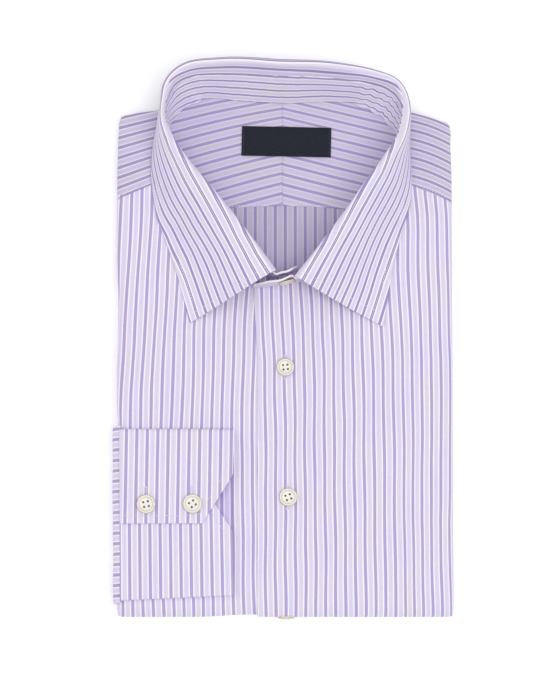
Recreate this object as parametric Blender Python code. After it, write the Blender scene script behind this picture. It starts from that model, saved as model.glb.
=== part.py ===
"""A long sleeve dress shirt, buttoned, folded and laid flat, with the right cuff brought round to the front.

Lengths are millimetres until a mesh is made. +X is the wearer's left, +Y runs from the hem fold to the
collar and +Z is up. The folded shirt rests on Z = 0. The fronts lie over the back and the inner yoke, and
every layer that the folding hides is one solid, folded_layers, whose rim shows its layers.
"""
import math

import bmesh
import bpy
import numpy as np
from mathutils import Vector

MM = 0.001

# cloth and seams
CLOTH = 1.2
CUFF_CLOTH = 1.5
STAND_CLOTH = 1.8
LEAF_CLOTH = 1.6
LABEL_CLOTH = 0.8
GAP = 0.3

# the folded body
SIDE_X = 110.5
STACK = 20.0
SHOULDER_DROP, SHOULDER_FROM, SHOULDER_SPAN = 4.2, 40.0, 105.0
BACK_NECK_DROP, BACK_NECK_FROM, BACK_NECK_SPAN = 2.0, 138.0, 22.0
CROWN = 1.0
HEM_CALM = 25.0
FOLD_Y = -172.0
FOLD_R = STACK / 2
TAIL_SIDE_X = 107.5
TAIL_R = 2.0
TAIL_END_Y = 62.0
TAIL_CURVE = 26.0
LIP_BODY = 8.0
LIP_SHOULDER = 5.0
SIDE_WRAP = math.radians(165)
TAIL_WRAP = math.radians(140)

# where the left front laps the right one
LAP_EDGE_X = -18.5
LAP_EDGE_LEAN, LEAN_FROM, LEAN_SPAN, LEAN_WIDTH = 2.3, -20.0, 55.0, 8.0
LAP_DEPTH = 1.6
LAP_RAMP = (-60.0, -22.0)
UNDERLAP_X = 8.0
FLAT_END_X = 104.5
FRONT_X = (66.0, 76.0)

# collar
SEAM_SHARE = 0.76
ROLL_R = 2.4
FOOT_LIFT = GAP + 0.5
SEAM_GAP = GAP + 0.25
EDGE_LIFT = 0.6
FALL_SKEW = 0.85

# buttons
BUTTON_R = 5.9
BUTTON_THICK = 2.4
BUTTON_HOLE_R = 0.75
BUTTON_HOLE_SPREAD = 2.1

# Soft ridges (+) and troughs (-) in the flat cloth, each along a line from (x0, y0) to (x1, y1).
FOLD_COLUMNS = ("x0", "y0", "x1", "y1", "height", "width")
FOLDS = (
    (-112, 103, -88, 117, 1.3, 3.2),
    (-108, 98, -86, 106, -0.6, 3.0),
    (-100, 60, -104, -40, 0.5, 6.0),
    (-60, -5, -66, -50, 0.5, 7.0),
    (-30, 20, -34, -50, -0.5, 6.0),
    (24, 25, 30, -60, 0.5, 7.0),
    (58, 0, 64, -90, -0.5, 8.0),
    (92, 70, 96, -30, 0.6, 6.0),
    (84, 98, 108, 86, -0.7, 4.0),
    (40, -80, 44, -165, 0.5, 7.0),
    (78, -70, 80, -165, 0.4, 6.0),
)

# Collar sections from the right front, round the back, to the left front. base is where the stand meets
# the body, fold is the crest of the roll, edge is the leaf's free edge, edge_drop is how far that edge
# hangs below the plane it would rest on, and bow is how far the leaf swells between fold and edge.
COLLAR_COLUMNS = ("base_x", "base_y", "fold_x", "fold_y", "fold_z", "edge_x", "edge_y", "edge_drop", "bow")
COLLAR = (
    (-9.5, 42.0, -7.5, 43.0, 46.5, -63.0, 11.5, 0.0, 2.0),
    (-27.5, 62.0, -25.0, 64.5, 47.5, -69.5, 36.0, 0.0, 2.5),
    (-52.0, 92.5, -49.5, 95.2, 49.5, -79.0, 65.5, 0.0, 3.5),
    (-66.5, 109.5, -64.5, 113.0, 51.0, -86.0, 87.0, 0.0, 4.0),
    (-75.0, 121.5, -74.0, 126.0, 52.0, -89.0, 112.0, 0.0, 4.0),
    (-79.0, 134.0, -80.0, 139.5, 52.5, -88.0, 129.0, 0.0, 3.0),
    (-77.8, 144.5, -80.8, 149.0, 52.5, -85.5, 143.0, 0.0, 2.0),
    (-73.4, 151.0, -79.6, 158.0, 52.0, -84.0, 155.0, 0.6, 1.5),
    (-67.3, 157.0, -77.5, 166.5, 51.5, -81.5, 168.5, 5.5, 1.5),
    (-59.5, 161.5, -72.5, 173.5, 51.0, -76.0, 177.0, 6.5, 1.5),
    (-49.0, 163.4, -63.0, 179.2, 50.5, -65.0, 183.5, 7.0, 1.0),
    (-35.0, 161.9, -43.0, 181.6, 50.3, -44.0, 186.3, 7.0, 1.0),
    (-2.0, 159.8, -3.0, 180.5, 50.0, -3.0, 185.2, 7.0, 1.0),
    (30.0, 160.9, 34.0, 178.2, 50.0, 35.0, 182.8, 7.0, 1.0),
    (48.0, 159.4, 57.0, 173.7, 50.3, 59.0, 178.0, 7.0, 1.0),
    (59.5, 154.6, 71.5, 168.0, 50.8, 74.5, 171.0, 6.0, 1.5),
    (67.5, 148.0, 77.6, 159.0, 51.2, 80.8, 160.0, 3.0, 1.5),
    (73.2, 141.2, 79.4, 147.5, 51.6, 82.6, 147.0, 0.0, 1.5),
    (75.2, 132.5, 77.0, 134.5, 51.8, 82.6, 132.0, 0.0, 2.5),
    (68.8, 115.0, 66.6, 116.8, 51.0, 83.4, 109.0, 0.0, 3.5),
    (56.6, 98.0, 54.4, 100.0, 49.8, 82.4, 91.5, 0.0, 3.5),
    (43.0, 78.6, 40.6, 80.4, 48.5, 76.5, 70.5, 0.0, 3.0),
    (25.8, 55.2, 23.2, 57.0, 47.3, 70.0, 42.0, 0.0, 2.5),
    (9.5, 38.6, 7.5, 40.5, 46.5, 64.5, 8.8, 0.0, 2.0),
)
# The stand's two tabs run on past the leaf: the right one inside, the left one over it.
TAB_COLUMNS = ("base_x", "base_y", "top_x", "top_y", "top_z")
RIGHT_TAB = (
    (8.6, 47.4, 7.8, 47.2, 34.0),
    (4.5, 45.4, 4.0, 45.0, 37.8),
    (-2.0, 43.8, -1.5, 42.9, 38.4),
)
LEFT_TAB = (
    (4.6, 38.4, 4.0, 39.8, 38.2),
    (-1.0, 37.6, -1.0, 38.2, 39.8),
    (-10.5, 36.2, -10.8, 36.5, 39.0),
    (-18.2, 35.9, -17.8, 36.2, 31.0),
)

# yoke
RIGHT_SEAM = ((-SIDE_X, 95.0), (-64.5, 110.0))
LEFT_SEAM = ((61.5, 107.0), (SIDE_X, 91.7))
CENTRE_BACK_X = -2.0
BACK_SEAM_Y = 91.6
BACK_SEAM_FALL, BACK_SEAM_REACH, BACK_SEAM_POWER = 3.6, 60.0, 1.5
BACK_HALF_WIDTH = 66.0
BACK_START_Y = 20.0
YOKE_UNDER_STAND = 1.3
# The inner yoke: it sags in the neck, and rises towards the stand over the last part of its length.
NECK_SAG = 0.9
INNER_LOWER = 0.3
NECK_RISE, RISE_FROM = 3.4, 0.8
STAND_CLEARANCE = 0.4
# The shoulder fold: x and y where the outer yoke starts to turn down, then x and y of its outermost line.
RIGHT_SHOULDER = (
    (-104.5, 97.0, -110.5, 97.0),
    (-104.8, 122.0, -110.4, 122.0),
    (-105.2, 139.0, -110.3, 140.0),
    (-105.4, 143.8, -110.0, 147.2),
    (-105.0, 145.2, -109.2, 149.5),
    (-101.0, 146.4, -103.0, 151.2),
    (-82.0, 150.4, -83.0, 155.8),
    (-60.0, 160.5, -61.5, 165.6),
    (-45.0, 164.3, -45.5, 169.3),
    (-30.0, 163.6, -30.0, 169.0),
    (CENTRE_BACK_X, 162.2, CENTRE_BACK_X, 167.6),
)
LEFT_SHOULDER = (
    (104.5, 93.7, 110.5, 93.7),
    (104.6, 116.0, 110.3, 116.0),
    (104.4, 131.0, 109.8, 132.5),
    (104.4, 137.6, 109.7, 142.0),
    (104.0, 139.8, 108.8, 144.7),
    (99.0, 142.4, 102.0, 147.3),
    (80.0, 147.6, 82.5, 152.8),
    (63.0, 156.0, 65.0, 161.0),
    (45.0, 162.0, 46.0, 167.4),
    (30.0, 162.8, 30.0, 168.2),
    (CENTRE_BACK_X, 162.2, CENTRE_BACK_X, 167.6),
)

# label
LABEL_CENTRE = (0.6, 134.0)
LABEL_SIZE = (58.5, 19.6)
LABEL_TURN = math.radians(-1.2)
LABEL_LIFT, LABEL_DOME = 0.3, 0.5

# cuff and sleeve, on the right front
CUFF_X = (-108.4, -34.7)
CUFF_Y = (-171.8, -59.8)
CUFF_LEVELS = {"lower": 1.2, "under_end": 3.3, "over_end": 5.2}
OVER_END_Y = -121.6
OVER_MITRE = (-89.6, -54.5)
UNDER_END_Y = -101.0
UNDER_MITRE = (-126.2, -51.2)
SLEEVE_Y = (-173.5, -56.5)
SLEEVE_THICK = 3.4
SLEEVE_SWEEP = (math.radians(41), math.radians(158))
SLEEVE_RADIUS = 6.0
SLEEVE_OFF = 0.6

# hidden layers
CORE_X = (-102.0, -84.0, -77.5, -60.0, -40.0, -20.0, 12.0, 26.0, 45.0, 60.0, 77.5, 84.0, 102.0)
CORE_Y = (-171.0, -165.0, -110.0, -50.0, 2.0, 14.0, 40.0, 64.0, 71.0, 95.0, 115.0)
CORE_FLARE = 4.6
CORE_RIDGES = 3
CORE_RIDGE_DEPTH = 1.3
CORE_UPPER_RIDGES, CORE_UPPER_DEPTH = 4, 0.9
TAIL_CLEAR_Y = 68.0
BASIN_X, BASIN_Y = 80.0, 8.0

BUTTONS = {
    "button_front_upper": (-0.1, -18.0),
    "button_front_lower": (1.5, -104.3),
}
HEM_BUTTON_ARC = math.radians(97)
HEM_BUTTON_X = 0.4
COLLAR_BUTTON_X = 1.3
COLLAR_BUTTON_SHARE = 0.68
COLLAR_BUTTON_OFF = 0.3
COLLAR_BUTTON_TILT = -0.05
CUFF_BUTTONS = {
    "button_cuff_arm": (-92.0, -109.5),
    "button_cuff_wrist": (-61.6, -108.9),
}


def smooth(t):
    t = np.clip(t, 0.0, 1.0)
    return t * t * (3 - 2 * t)


def column(table, names, name):
    return np.array([row[names.index(name)] for row in table], float)


def through(points, count=None, at=None):
    """A smooth curve through the points, at count places evenly apart or at the given shares of its length."""
    points = np.asarray(points, float)
    steps = np.linalg.norm(np.diff(points[:, :2], axis=0), axis=1)
    knots = np.concatenate([[0], np.cumsum(steps)])
    slopes = np.gradient(points, knots, axis=0)
    share = np.linspace(0, 1, count) if at is None else np.asarray(at, float)
    where = share * knots[-1]
    i = np.clip(np.searchsorted(knots, where, side="right") - 1, 0, len(knots) - 2)
    span = (knots[i + 1] - knots[i])[:, None]
    t = (where - knots[i])[:, None] / span
    return (
        (2 * t**3 - 3 * t**2 + 1) * points[i]
        + (t**3 - 2 * t**2 + t) * span * slopes[i]
        + (3 * t**2 - 2 * t**3) * points[i + 1]
        + (t**3 - t**2) * span * slopes[i + 1]
    )


def pushed_in(line, distance):
    """A plan line moved to its left side, which is the side of the neck for the neck curve."""
    along = np.gradient(line[:, :2], axis=0)
    along /= np.linalg.norm(along, axis=1)[:, None]
    moved = line.copy()
    moved[:, 0] += along[:, 1] * distance
    moved[:, 1] -= along[:, 0] * distance
    return moved


def folds_at(x, y):
    """How far the soft ridges and troughs lift the flat cloth: a bell across each line, fading at its ends."""
    total = np.zeros(np.broadcast(x, y).shape)
    for x0, y0, x1, y1, height, width in FOLDS:
        length = math.hypot(x1 - x0, y1 - y0)
        dx, dy = (x1 - x0) / length, (y1 - y0) / length
        along = ((x - x0) * dx + (y - y0) * dy) / length
        across = (x - x0) * dy - (y - y0) * dx
        ends = smooth(along * 3 + 0.5) * smooth((1 - along) * 3 + 0.5)
        total = total + height * np.exp(-(across / width) ** 2) * ends
    return total


def shoulder_share(y):
    """0 on the chest and 1 at the shoulders."""
    return smooth((y - SHOULDER_FROM) / SHOULDER_SPAN)


def plain_height(y):
    """The stack's height along the body, which falls towards the shoulders and the back of the neck."""
    return STACK - SHOULDER_DROP * shoulder_share(y) - BACK_NECK_DROP * smooth((y - BACK_NECK_FROM) / BACK_NECK_SPAN)


def top_height(x, y):
    """The outer face of the fronts and the outer yoke, before their edges turn down."""
    x, y = np.asarray(x, float), np.asarray(y, float)
    calm = smooth((y - FOLD_Y) / HEM_CALM)
    return plain_height(y) - CROWN * (x / SIDE_X) ** 4 * calm + folds_at(x, y) * calm


def lap_depth(x):
    """How far the right front lies below the outer face where the left front laps it."""
    return LAP_DEPTH * smooth((np.asarray(x, float) - LAP_RAMP[0]) / (LAP_RAMP[1] - LAP_RAMP[0]))


def lip_height(y):
    """How high the lip of the turned side edge stays above the ground."""
    return LIP_BODY + (LIP_SHOULDER - LIP_BODY) * shoulder_share(y)


def side_radius(y):
    """The radius of the turned side edge, from the outer face down to its lip."""
    return (top_height(SIDE_X, y) - folds_at(SIDE_X, y) - lip_height(y)) / 2


def material(name, colour, roughness):
    made = bpy.data.materials.new(name)
    made.use_nodes = True
    shader = made.node_tree.nodes["Principled BSDF"]
    shader.inputs["Base Color"].default_value = (*colour, 1)
    shader.inputs["Roughness"].default_value = roughness
    shader.inputs["Metallic"].default_value = 0
    made.diffuse_color = (*colour, 1)
    return made


def add_mesh(name, points, faces, finish, smooth_angle=40):
    mesh = bpy.data.meshes.new(name)
    mesh.from_pydata((np.asarray(points) * MM).tolist(), [], faces)
    body = bmesh.new()
    body.from_mesh(mesh)
    bmesh.ops.recalc_face_normals(body, faces=body.faces)
    if body.calc_volume(signed=True) < 0:
        bmesh.ops.reverse_faces(body, faces=body.faces)
    body.to_mesh(mesh)
    body.free()
    mesh.materials.append(finish)
    mesh.shade_smooth()
    mesh.set_sharp_from_angle(angle=math.radians(smooth_angle))
    made = bpy.data.objects.new(name, mesh)
    bpy.context.scene.collection.objects.link(made)
    return made


def normals_of(grid):
    """Unit normals of a grid of points, from its neighbours along and across."""
    along = np.gradient(grid, axis=0)
    across = np.gradient(grid, axis=1)
    normal = np.cross(along, across)
    return normal / np.maximum(np.linalg.norm(normal, axis=2), 1e-9)[..., None]


def wall(name, face, back, finish, ring=False):
    """A closed wall between two grids of the same size. ring joins the last row to the first."""
    rows, columns = face.shape[:2]
    points = np.concatenate([face.reshape(-1, 3), back.reshape(-1, 3)])
    behind = rows * columns
    faces = []
    last = rows if ring else rows - 1
    for i in range(last):
        for j in range(columns - 1):
            a, b = i * columns + j, ((i + 1) % rows) * columns + j
            faces.append((a, a + 1, b + 1, b))
            faces.append((behind + b, behind + b + 1, behind + a + 1, behind + a))
        for j in (0, columns - 1):
            a, b = i * columns + j, ((i + 1) % rows) * columns + j
            faces.append((a, b, behind + b, behind + a) if j == 0 else (b, a, behind + a, behind + b))
    if not ring:
        for j in range(columns - 1):
            for a in (j, (rows - 1) * columns + j):
                rim = (a, a + 1, behind + a + 1, behind + a)
                faces.append(rim[::-1] if a == j else rim)
    return add_mesh(name, points, faces, finish)


def sheet(name, middle, thickness, finish):
    """A wall that has the grid in its middle."""
    push = normals_of(middle) * thickness / 2
    return wall(name, middle + push, middle - push, finish)


def plan_of(kind, table, names):
    return np.stack([column(table, names, f"{kind}_{axis}") for axis in "xy"], axis=1)


NECK = through(plan_of("base", COLLAR, COLLAR_COLUMNS), 97)


def front_top(side):
    """The front's upper edge: its neck curve under the stand, then the seam to the yoke, by rising x."""
    half = len(NECK) // 2
    if side > 0:
        tab = plan_of("base", LEFT_TAB, TAB_COLUMNS)[::-1] + (0, 0.6)
        neck = np.concatenate([tab, NECK[half:][::-1]])
        neck = neck[neck[:, 1] < LEFT_SEAM[0][1] - 1]
        line = np.concatenate([neck, np.array(LEFT_SEAM) - (0, GAP)])
    else:
        tab = plan_of("base", RIGHT_TAB, TAB_COLUMNS)[::-1] + (0, 0.6)
        neck = np.concatenate([NECK[:half], tab])
        neck = neck[neck[:, 1] < RIGHT_SEAM[1][1] - 1]
        line = np.concatenate([np.array(RIGHT_SEAM) - (0, GAP), neck])
    return line[np.argsort(line[:, 0], kind="stable")]


def front_face(side, depth):
    """One front as a grid, depth inside its outer face: down the front, round the hem fold and up the
    underside, with the side edge turned on an arc. side is 1 for the left front and -1 for the right."""
    top = front_top(side)
    if side > 0:
        flats = np.concatenate([np.linspace(LAP_EDGE_X, FRONT_X[0], 13), np.linspace(FRONT_X[1], FLAT_END_X, 4)])
    else:
        flats = np.concatenate([np.linspace(UNDERLAP_X, LAP_EDGE_X + 1, 4), np.linspace(-25, -FRONT_X[0], 8),
                                np.linspace(-FRONT_X[1], -FLAT_END_X, 4)])
    arcs = np.linspace(0, 1, 7)[1:]
    rows = []
    down = np.linspace(0, 1, 11)
    turn = np.linspace(0, math.pi, 7)[1:-1]
    under = np.linspace(0, 1, 5)

    def section(start_y, height, angle, share):
        """share is 0 on the front and 1 on the underside; angle is how far round the hem fold it is."""
        points = []
        back = np.array([0.0, -math.sin(angle), math.cos(angle)])
        for x in flats:
            y = start_y(x)
            lean = 0.0
            if side > 0:
                lean = smooth((y - LEAN_FROM) / LEAN_SPAN) * smooth(1 - abs(x - LAP_EDGE_X) / LEAN_WIDTH) * LAP_EDGE_LEAN
            lap = lap_depth(x) if side < 0 else 0.0
            outer = np.array([x - lean, y, 0.0]) + height(x, y)
            points.append(outer - back * (depth + lap))
        radius = side_radius(start_y(flats[-1])) * (1 - share) + TAIL_R * share
        reach = SIDE_X * (1 - share) + TAIL_SIDE_X * share
        centre_x = reach - radius
        wrap = SIDE_WRAP * (1 - share) + TAIL_WRAP * share
        for t in arcs:
            a = t * wrap
            y = start_y(side * (centre_x + radius * math.sin(a)))
            outer = np.array([side * (centre_x + (radius - depth) * math.sin(a)), y, 0.0]) + height(SIDE_X, y)
            points.append(outer - back * (radius - (radius - depth) * math.cos(a)))
        points[len(flats) - 1][0] = side * centre_x
        return points

    for t in down:
        rows.append(section(
            lambda x, t=t: float(np.interp(x, top[:, 0], top[:, 1])) * (1 - t) + FOLD_Y * t,
            lambda x, y: np.array([0, 0, float(top_height(x, y))]), 0.0, 0.0))
    for angle in turn:
        rows.append(section(
            lambda x: FOLD_Y,
            lambda x, y, angle=angle: np.array([0, -FOLD_R * math.sin(angle), FOLD_R * (1 + math.cos(angle))]),
            angle, angle / math.pi))
    for t in under:
        rows.append(section(
            lambda x, t=t: FOLD_Y + t * (TAIL_END_Y - TAIL_CURVE * (x / SIDE_X) ** 2 - FOLD_Y),
            lambda x, y: np.zeros(3), math.pi, 1.0))
    return np.array(rows)


def make_fronts(cloth):
    for name, side in (("front_right", -1), ("front_left", 1)):
        wall(name, front_face(side, 0.0), front_face(side, CLOTH), cloth)


def outer_yoke_face(side, depth):
    """Half the outer yoke: sections fan from the neck curve to the shoulder fold and turn down it."""
    seam = RIGHT_SEAM if side < 0 else LEFT_SEAM
    slope = (seam[1][1] - seam[0][1]) / (seam[1][0] - seam[0][0])
    table = RIGHT_SHOULDER if side < 0 else LEFT_SHOULDER
    shoulder = np.array(table, float)
    steps = np.linalg.norm(np.diff(shoulder[:, :2], axis=0), axis=1)
    shares = np.concatenate([[0], np.cumsum(steps)]) / steps.sum()
    shares = np.sort(np.concatenate([shares, (shares[:1] + shares[1:2]) / 2]))
    shoulder = through(shoulder, at=shares)
    line = pushed_in(NECK, -YOKE_UNDER_STAND)
    neck = line[: len(line) // 2 + 1] if side < 0 else line[len(line) // 2:][::-1]
    seam_y = (seam[1] if side < 0 else seam[0])[1]
    neck = neck[(neck[:, 1] > seam_y + 1) & ((neck[:, 0] - CENTRE_BACK_X) * side > 1)]
    neck = np.concatenate([neck, [[CENTRE_BACK_X, neck[-1, 1]]]])
    neck = through(neck, at=shares)
    for line, corner_x in ((neck, 0), (shoulder, 0), (shoulder, 2)):
        line[0, corner_x + 1] = seam[0][1] + slope * (line[0, corner_x] - seam[0][0]) + GAP
        line[-1, corner_x] = CENTRE_BACK_X + side * GAP / 2
    rows = []
    for start, (x, y, edge_x, edge_y) in zip(neck, shoulder):
        points = []
        for t in np.linspace(0, 1, 5):
            flat_x, flat_y = start[:2] * (1 - t) + np.array((x, y)) * t
            points.append((flat_x, flat_y, float(top_height(flat_x, flat_y)) - depth))
        radius, z = side_radius(y), float(top_height(x, y))
        for a in np.linspace(0, SIDE_WRAP, 7)[1:]:
            reach = (1 - depth / radius) * math.sin(a)
            points.append((x + (edge_x - x) * reach, y + (edge_y - y) * reach,
                           z - radius + (radius - depth) * math.cos(a)))
        rows.append(points)
    return np.array(rows)


def make_outer_yoke(cloth):
    for name, side in (("outer_yoke_right", -1), ("outer_yoke_left", 1)):
        wall(name, outer_yoke_face(side, 0.0), outer_yoke_face(side, CLOTH), cloth)


def inner_height(x, y):
    """The upper face of the back and the inner yoke, which lie under the fronts and sag a little in the neck."""
    x, y = np.asarray(x, float), np.asarray(y, float)
    sag = NECK_SAG * smooth((y - 40) / 50) * (1 - smooth((np.abs(x) - 30) / 35)) * (1 - smooth((y - 120) / 35))
    return plain_height(y) - CROWN * (x / SIDE_X) ** 4 - CLOTH - LAP_DEPTH - 2 * GAP - INNER_LOWER - sag


def back_seam(x):
    return BACK_SEAM_Y - BACK_SEAM_FALL * (np.abs(x - CENTRE_BACK_X) / BACK_SEAM_REACH) ** BACK_SEAM_POWER


def make_back(cloth):
    x = np.linspace(-BACK_HALF_WIDTH, BACK_HALF_WIDTH, 15)[:, None]
    t = np.linspace(0, 1, 6)[None, :]
    y = BACK_START_Y * (1 - t) + (back_seam(x) - GAP / 2) * t
    face = np.stack([x + 0 * t, y, inner_height(x, y)], axis=2)
    wall("back_panel", face, face - (0, 0, CLOTH), cloth)


def inner_yoke_face(side):
    """Half the inner yoke, from the seam to the back up to the neck seam, where it rises to the stand."""
    neck = pushed_in(NECK, STAND_CLOTH / 2 + STAND_CLEARANCE)
    neck = neck[(neck[:, 1] > 137.0) & (neck[:, 0] * side > -10)]
    neck = neck[np.argsort(neck[:, 0])]
    outermost = (np.abs(neck[:, 0]).max() - 0.2) * side
    x = np.linspace(CENTRE_BACK_X + side * GAP / 2, outermost, 13)[:, None]
    t = np.array([0, 0.18, 0.36, 0.54, 0.7, 0.82, 0.9, 0.95, 1.0])[None, :]
    end = np.interp(x, neck[:, 0], neck[:, 1])
    y = (back_seam(x) + GAP / 2) * (1 - t) + end * t
    rise = NECK_RISE * smooth((t - RISE_FROM) / (1 - RISE_FROM)) * (1 - smooth((np.abs(x) - 60) / 12))
    return np.stack([x + 0 * t, y, inner_height(x, y) + rise], axis=2)


def make_inner_yoke(cloth):
    for name, side in (("inner_yoke_right", -1), ("inner_yoke_left", 1)):
        face = inner_yoke_face(side)
        wall(name, face, face - (0, 0, CLOTH), cloth)


def make_label(satin):
    """The label lies on the inner yoke, domed a little over it."""
    u = np.linspace(-0.5, 0.5, 9)[:, None] * LABEL_SIZE[0]
    v = np.linspace(-0.5, 0.5, 4)[None, :] * LABEL_SIZE[1]
    x = LABEL_CENTRE[0] + u * math.cos(LABEL_TURN) - v * math.sin(LABEL_TURN)
    y = LABEL_CENTRE[1] + u * math.sin(LABEL_TURN) + v * math.cos(LABEL_TURN)
    z = inner_height(x, y) + GAP + LABEL_LIFT + LABEL_DOME * (1 - (2 * u / LABEL_SIZE[0]) ** 2)
    back = np.stack([x, y, z], axis=2)
    wall("neck_label", back + (0, 0, LABEL_CLOTH), back, satin)


def collar_sections(count):
    """Arrays of feet, crests, edges and bows at count places round the collar, with the unit vector out."""
    base_x, base_y, fold_x, fold_y, fold_z, edge_x, edge_y, edge_drop, bow = through(COLLAR, count).T
    edge_z = top_height(edge_x, edge_y) + GAP + LEAF_CLOTH / 2 + EDGE_LIFT - edge_drop
    feet = np.stack([base_x, base_y, top_height(base_x, base_y) + FOOT_LIFT], axis=1)
    feet[:, 2] -= np.where((base_x < 0) & (base_y < 108), lap_depth(base_x), 0.0)
    crests = np.stack([fold_x, fold_y, fold_z], axis=1)
    edges = np.stack([edge_x, edge_y, edge_z], axis=1)
    out = edges - crests
    out[:, 2] = 0
    out /= np.linalg.norm(out, axis=1)[:, None]
    return feet, crests, edges, bow, out


def seam_points(feet, crests, out):
    """Where the stand ends and the leaf starts, on the line from the foot to the inside of the roll."""
    roll_in = crests - ROLL_R * (out + (0, 0, 1))
    reach = roll_in - feet
    step = reach / np.linalg.norm(reach, axis=1)[:, None] * SEAM_GAP
    seam = feet + reach * SEAM_SHARE
    return seam, seam + step, roll_in


def stand_middle():
    """The stand's middle surface: its right tab, the run round the neck and its left tab."""
    feet, crests, _, _, out = collar_sections(41)
    tops, _, _ = seam_points(feet, crests, out)
    rows = [np.concatenate([feet, tops], axis=1)]
    for table, lap in ((RIGHT_TAB, LAP_DEPTH), (LEFT_TAB, 0.0)):
        base = plan_of("base", table, TAB_COLUMNS)
        foot_z = top_height(*base.T) + FOOT_LIFT - lap
        top = np.column_stack([plan_of("top", table, TAB_COLUMNS), column(table, TAB_COLUMNS, "top_z")])
        rows.append(np.column_stack([base, foot_z, top]))
    line = through(np.concatenate([rows[1], rows[0], rows[2]]), 57)
    share = np.linspace(0, 1, 5)[None, :, None]
    return line[:, None, :3] * (1 - share) + line[:, None, 3:] * share


def make_stand(cloth):
    sheet("collar_stand", stand_middle(), STAND_CLOTH, cloth)


def leaf_middle(count):
    """The leaf's middle surface: up from its seam with the stand, over the roll and down to its free edge."""
    feet, crests, edges, bow, out = collar_sections(count)
    _, starts, roll_in = seam_points(feet, crests, out)
    up = np.array([0, 0, 1.0])
    rows = []
    for start, inside, crest, edge, swell, e in zip(starts, roll_in, crests, edges, bow, out):
        centre = crest - ROLL_R * up
        fall = edge - crest
        leave = math.pi / 2 + math.atan2(-fall[2], fall @ e)
        points = [start, (start + inside) / 2, inside]
        for a in np.linspace(0, leave, 6)[1:]:
            points.append(centre + ROLL_R * (up * math.sin(a) - e * math.cos(a)))
        first = points[-1]
        chord = edge - first
        side = up - chord * (up @ chord) / (chord @ chord)
        side = e - chord * (e @ chord) / (chord @ chord) if np.linalg.norm(side) < 1e-3 else side
        side /= np.linalg.norm(side)
        for share in np.linspace(0, 1, 7)[1:]:
            points.append(first + chord * share + side * swell * math.sin(math.pi * share ** FALL_SKEW))
        rows.append(points)
    return np.array(rows)


def make_leaf(cloth):
    sheet("collar_leaf", leaf_middle(43), LEAF_CLOTH, cloth)


def right_front_height(x, y):
    """The right front's outer face, where the cuff lies."""
    x = np.maximum(x, -(SIDE_X - SLEEVE_RADIUS))
    return top_height(x, y) - lap_depth(x)


def cuff_line():
    """The cuff's strip from its under end, round both folds, to its over end: (y, level, wrist side x)."""
    low, under, over = (CUFF_LEVELS[k] for k in ("lower", "under_end", "over_end"))
    rows = []

    def wrist_x(y, start, end_y, end_x):
        return CUFF_X[1] + (end_x - CUFF_X[1]) * np.clip((y - start) / (end_y - start), 0, 1)

    small, large = (under - low) / 2, (over - low) / 2
    first_y, last_y = CUFF_Y[0] + small, CUFF_Y[1] - large
    for y in (UNDER_END_Y, -115.0, UNDER_MITRE[0], -150.0, first_y):
        rows.append((y, under, float(wrist_x(y, UNDER_MITRE[0], UNDER_END_Y, UNDER_MITRE[1]))))
    for a in np.linspace(0, math.pi, 6)[1:-1]:
        rows.append((first_y - small * math.sin(a), low + small * (1 + math.cos(a)), CUFF_X[1]))
    for y in np.linspace(first_y, last_y, 6):
        rows.append((y, low, CUFF_X[1]))
    for a in np.linspace(0, math.pi, 7)[1:-1]:
        rows.append((last_y + large * math.sin(a), low + large * (1 - math.cos(a)), CUFF_X[1]))
    for y in (last_y, -77.0, OVER_MITRE[0], -108.0, OVER_END_Y):
        rows.append((y, over, float(wrist_x(y, OVER_MITRE[0], OVER_END_Y, OVER_MITRE[1]))))
    return rows


def make_cuff(cloth):
    share = np.linspace(0, 1, 9)
    rows = []
    for y, level, wrist in cuff_line():
        x = CUFF_X[0] * (1 - share) + wrist * share
        z = right_front_height(x, np.full_like(x, y)) + level
        rows.append(np.column_stack([x, np.full_like(x, y), z]))
    sheet("cuff_right", np.array(rows), CUFF_CLOTH, cloth)


def make_sleeve(cloth):
    """The sleeve's end: a flattened tube that leaves the cuff and turns down round the folded side."""
    centre_x, centre_z = -(SIDE_X - SLEEVE_RADIUS), STACK - SLEEVE_RADIUS
    path = SLEEVE_RADIUS + SLEEVE_OFF + SLEEVE_THICK / 2
    turn = SLEEVE_THICK / 2
    loop = []
    for a in np.linspace(-math.pi / 2, math.pi / 2, 6):
        loop.append((SLEEVE_Y[1] - turn + turn * math.cos(a), turn * math.sin(a)))
    for y in np.linspace(SLEEVE_Y[1] - turn, SLEEVE_Y[0] + turn, 6)[1:-1]:
        loop.append((y, turn))
    for a in np.linspace(math.pi / 2, 1.5 * math.pi, 6):
        loop.append((SLEEVE_Y[0] + turn + turn * math.cos(a), turn * math.sin(a)))
    for y in np.linspace(SLEEVE_Y[0] + turn, SLEEVE_Y[1] - turn, 6)[1:-1]:
        loop.append((y, -turn))
    loop = np.array(loop)
    inner = loop.copy()
    share = (turn - CLOTH) / turn
    middle_y = (SLEEVE_Y[0] + SLEEVE_Y[1]) / 2
    inner[:, 0] = middle_y + (loop[:, 0] - middle_y) * (1 - CLOTH / (SLEEVE_Y[1] - SLEEVE_Y[0]) * 2)
    inner[:, 1] = loop[:, 1] * share
    grids = []
    for outline in (loop, inner):
        rows = []
        for y, level in outline:
            row = []
            for a in np.linspace(*SLEEVE_SWEEP, 13):
                reach = path + level
                row.append((centre_x - reach * math.sin(a), y, centre_z + reach * math.cos(a)))
            rows.append(row)
        grids.append(np.array(rows))
    wall("sleeve_right", grids[0], grids[1], cloth, ring=True)


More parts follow.
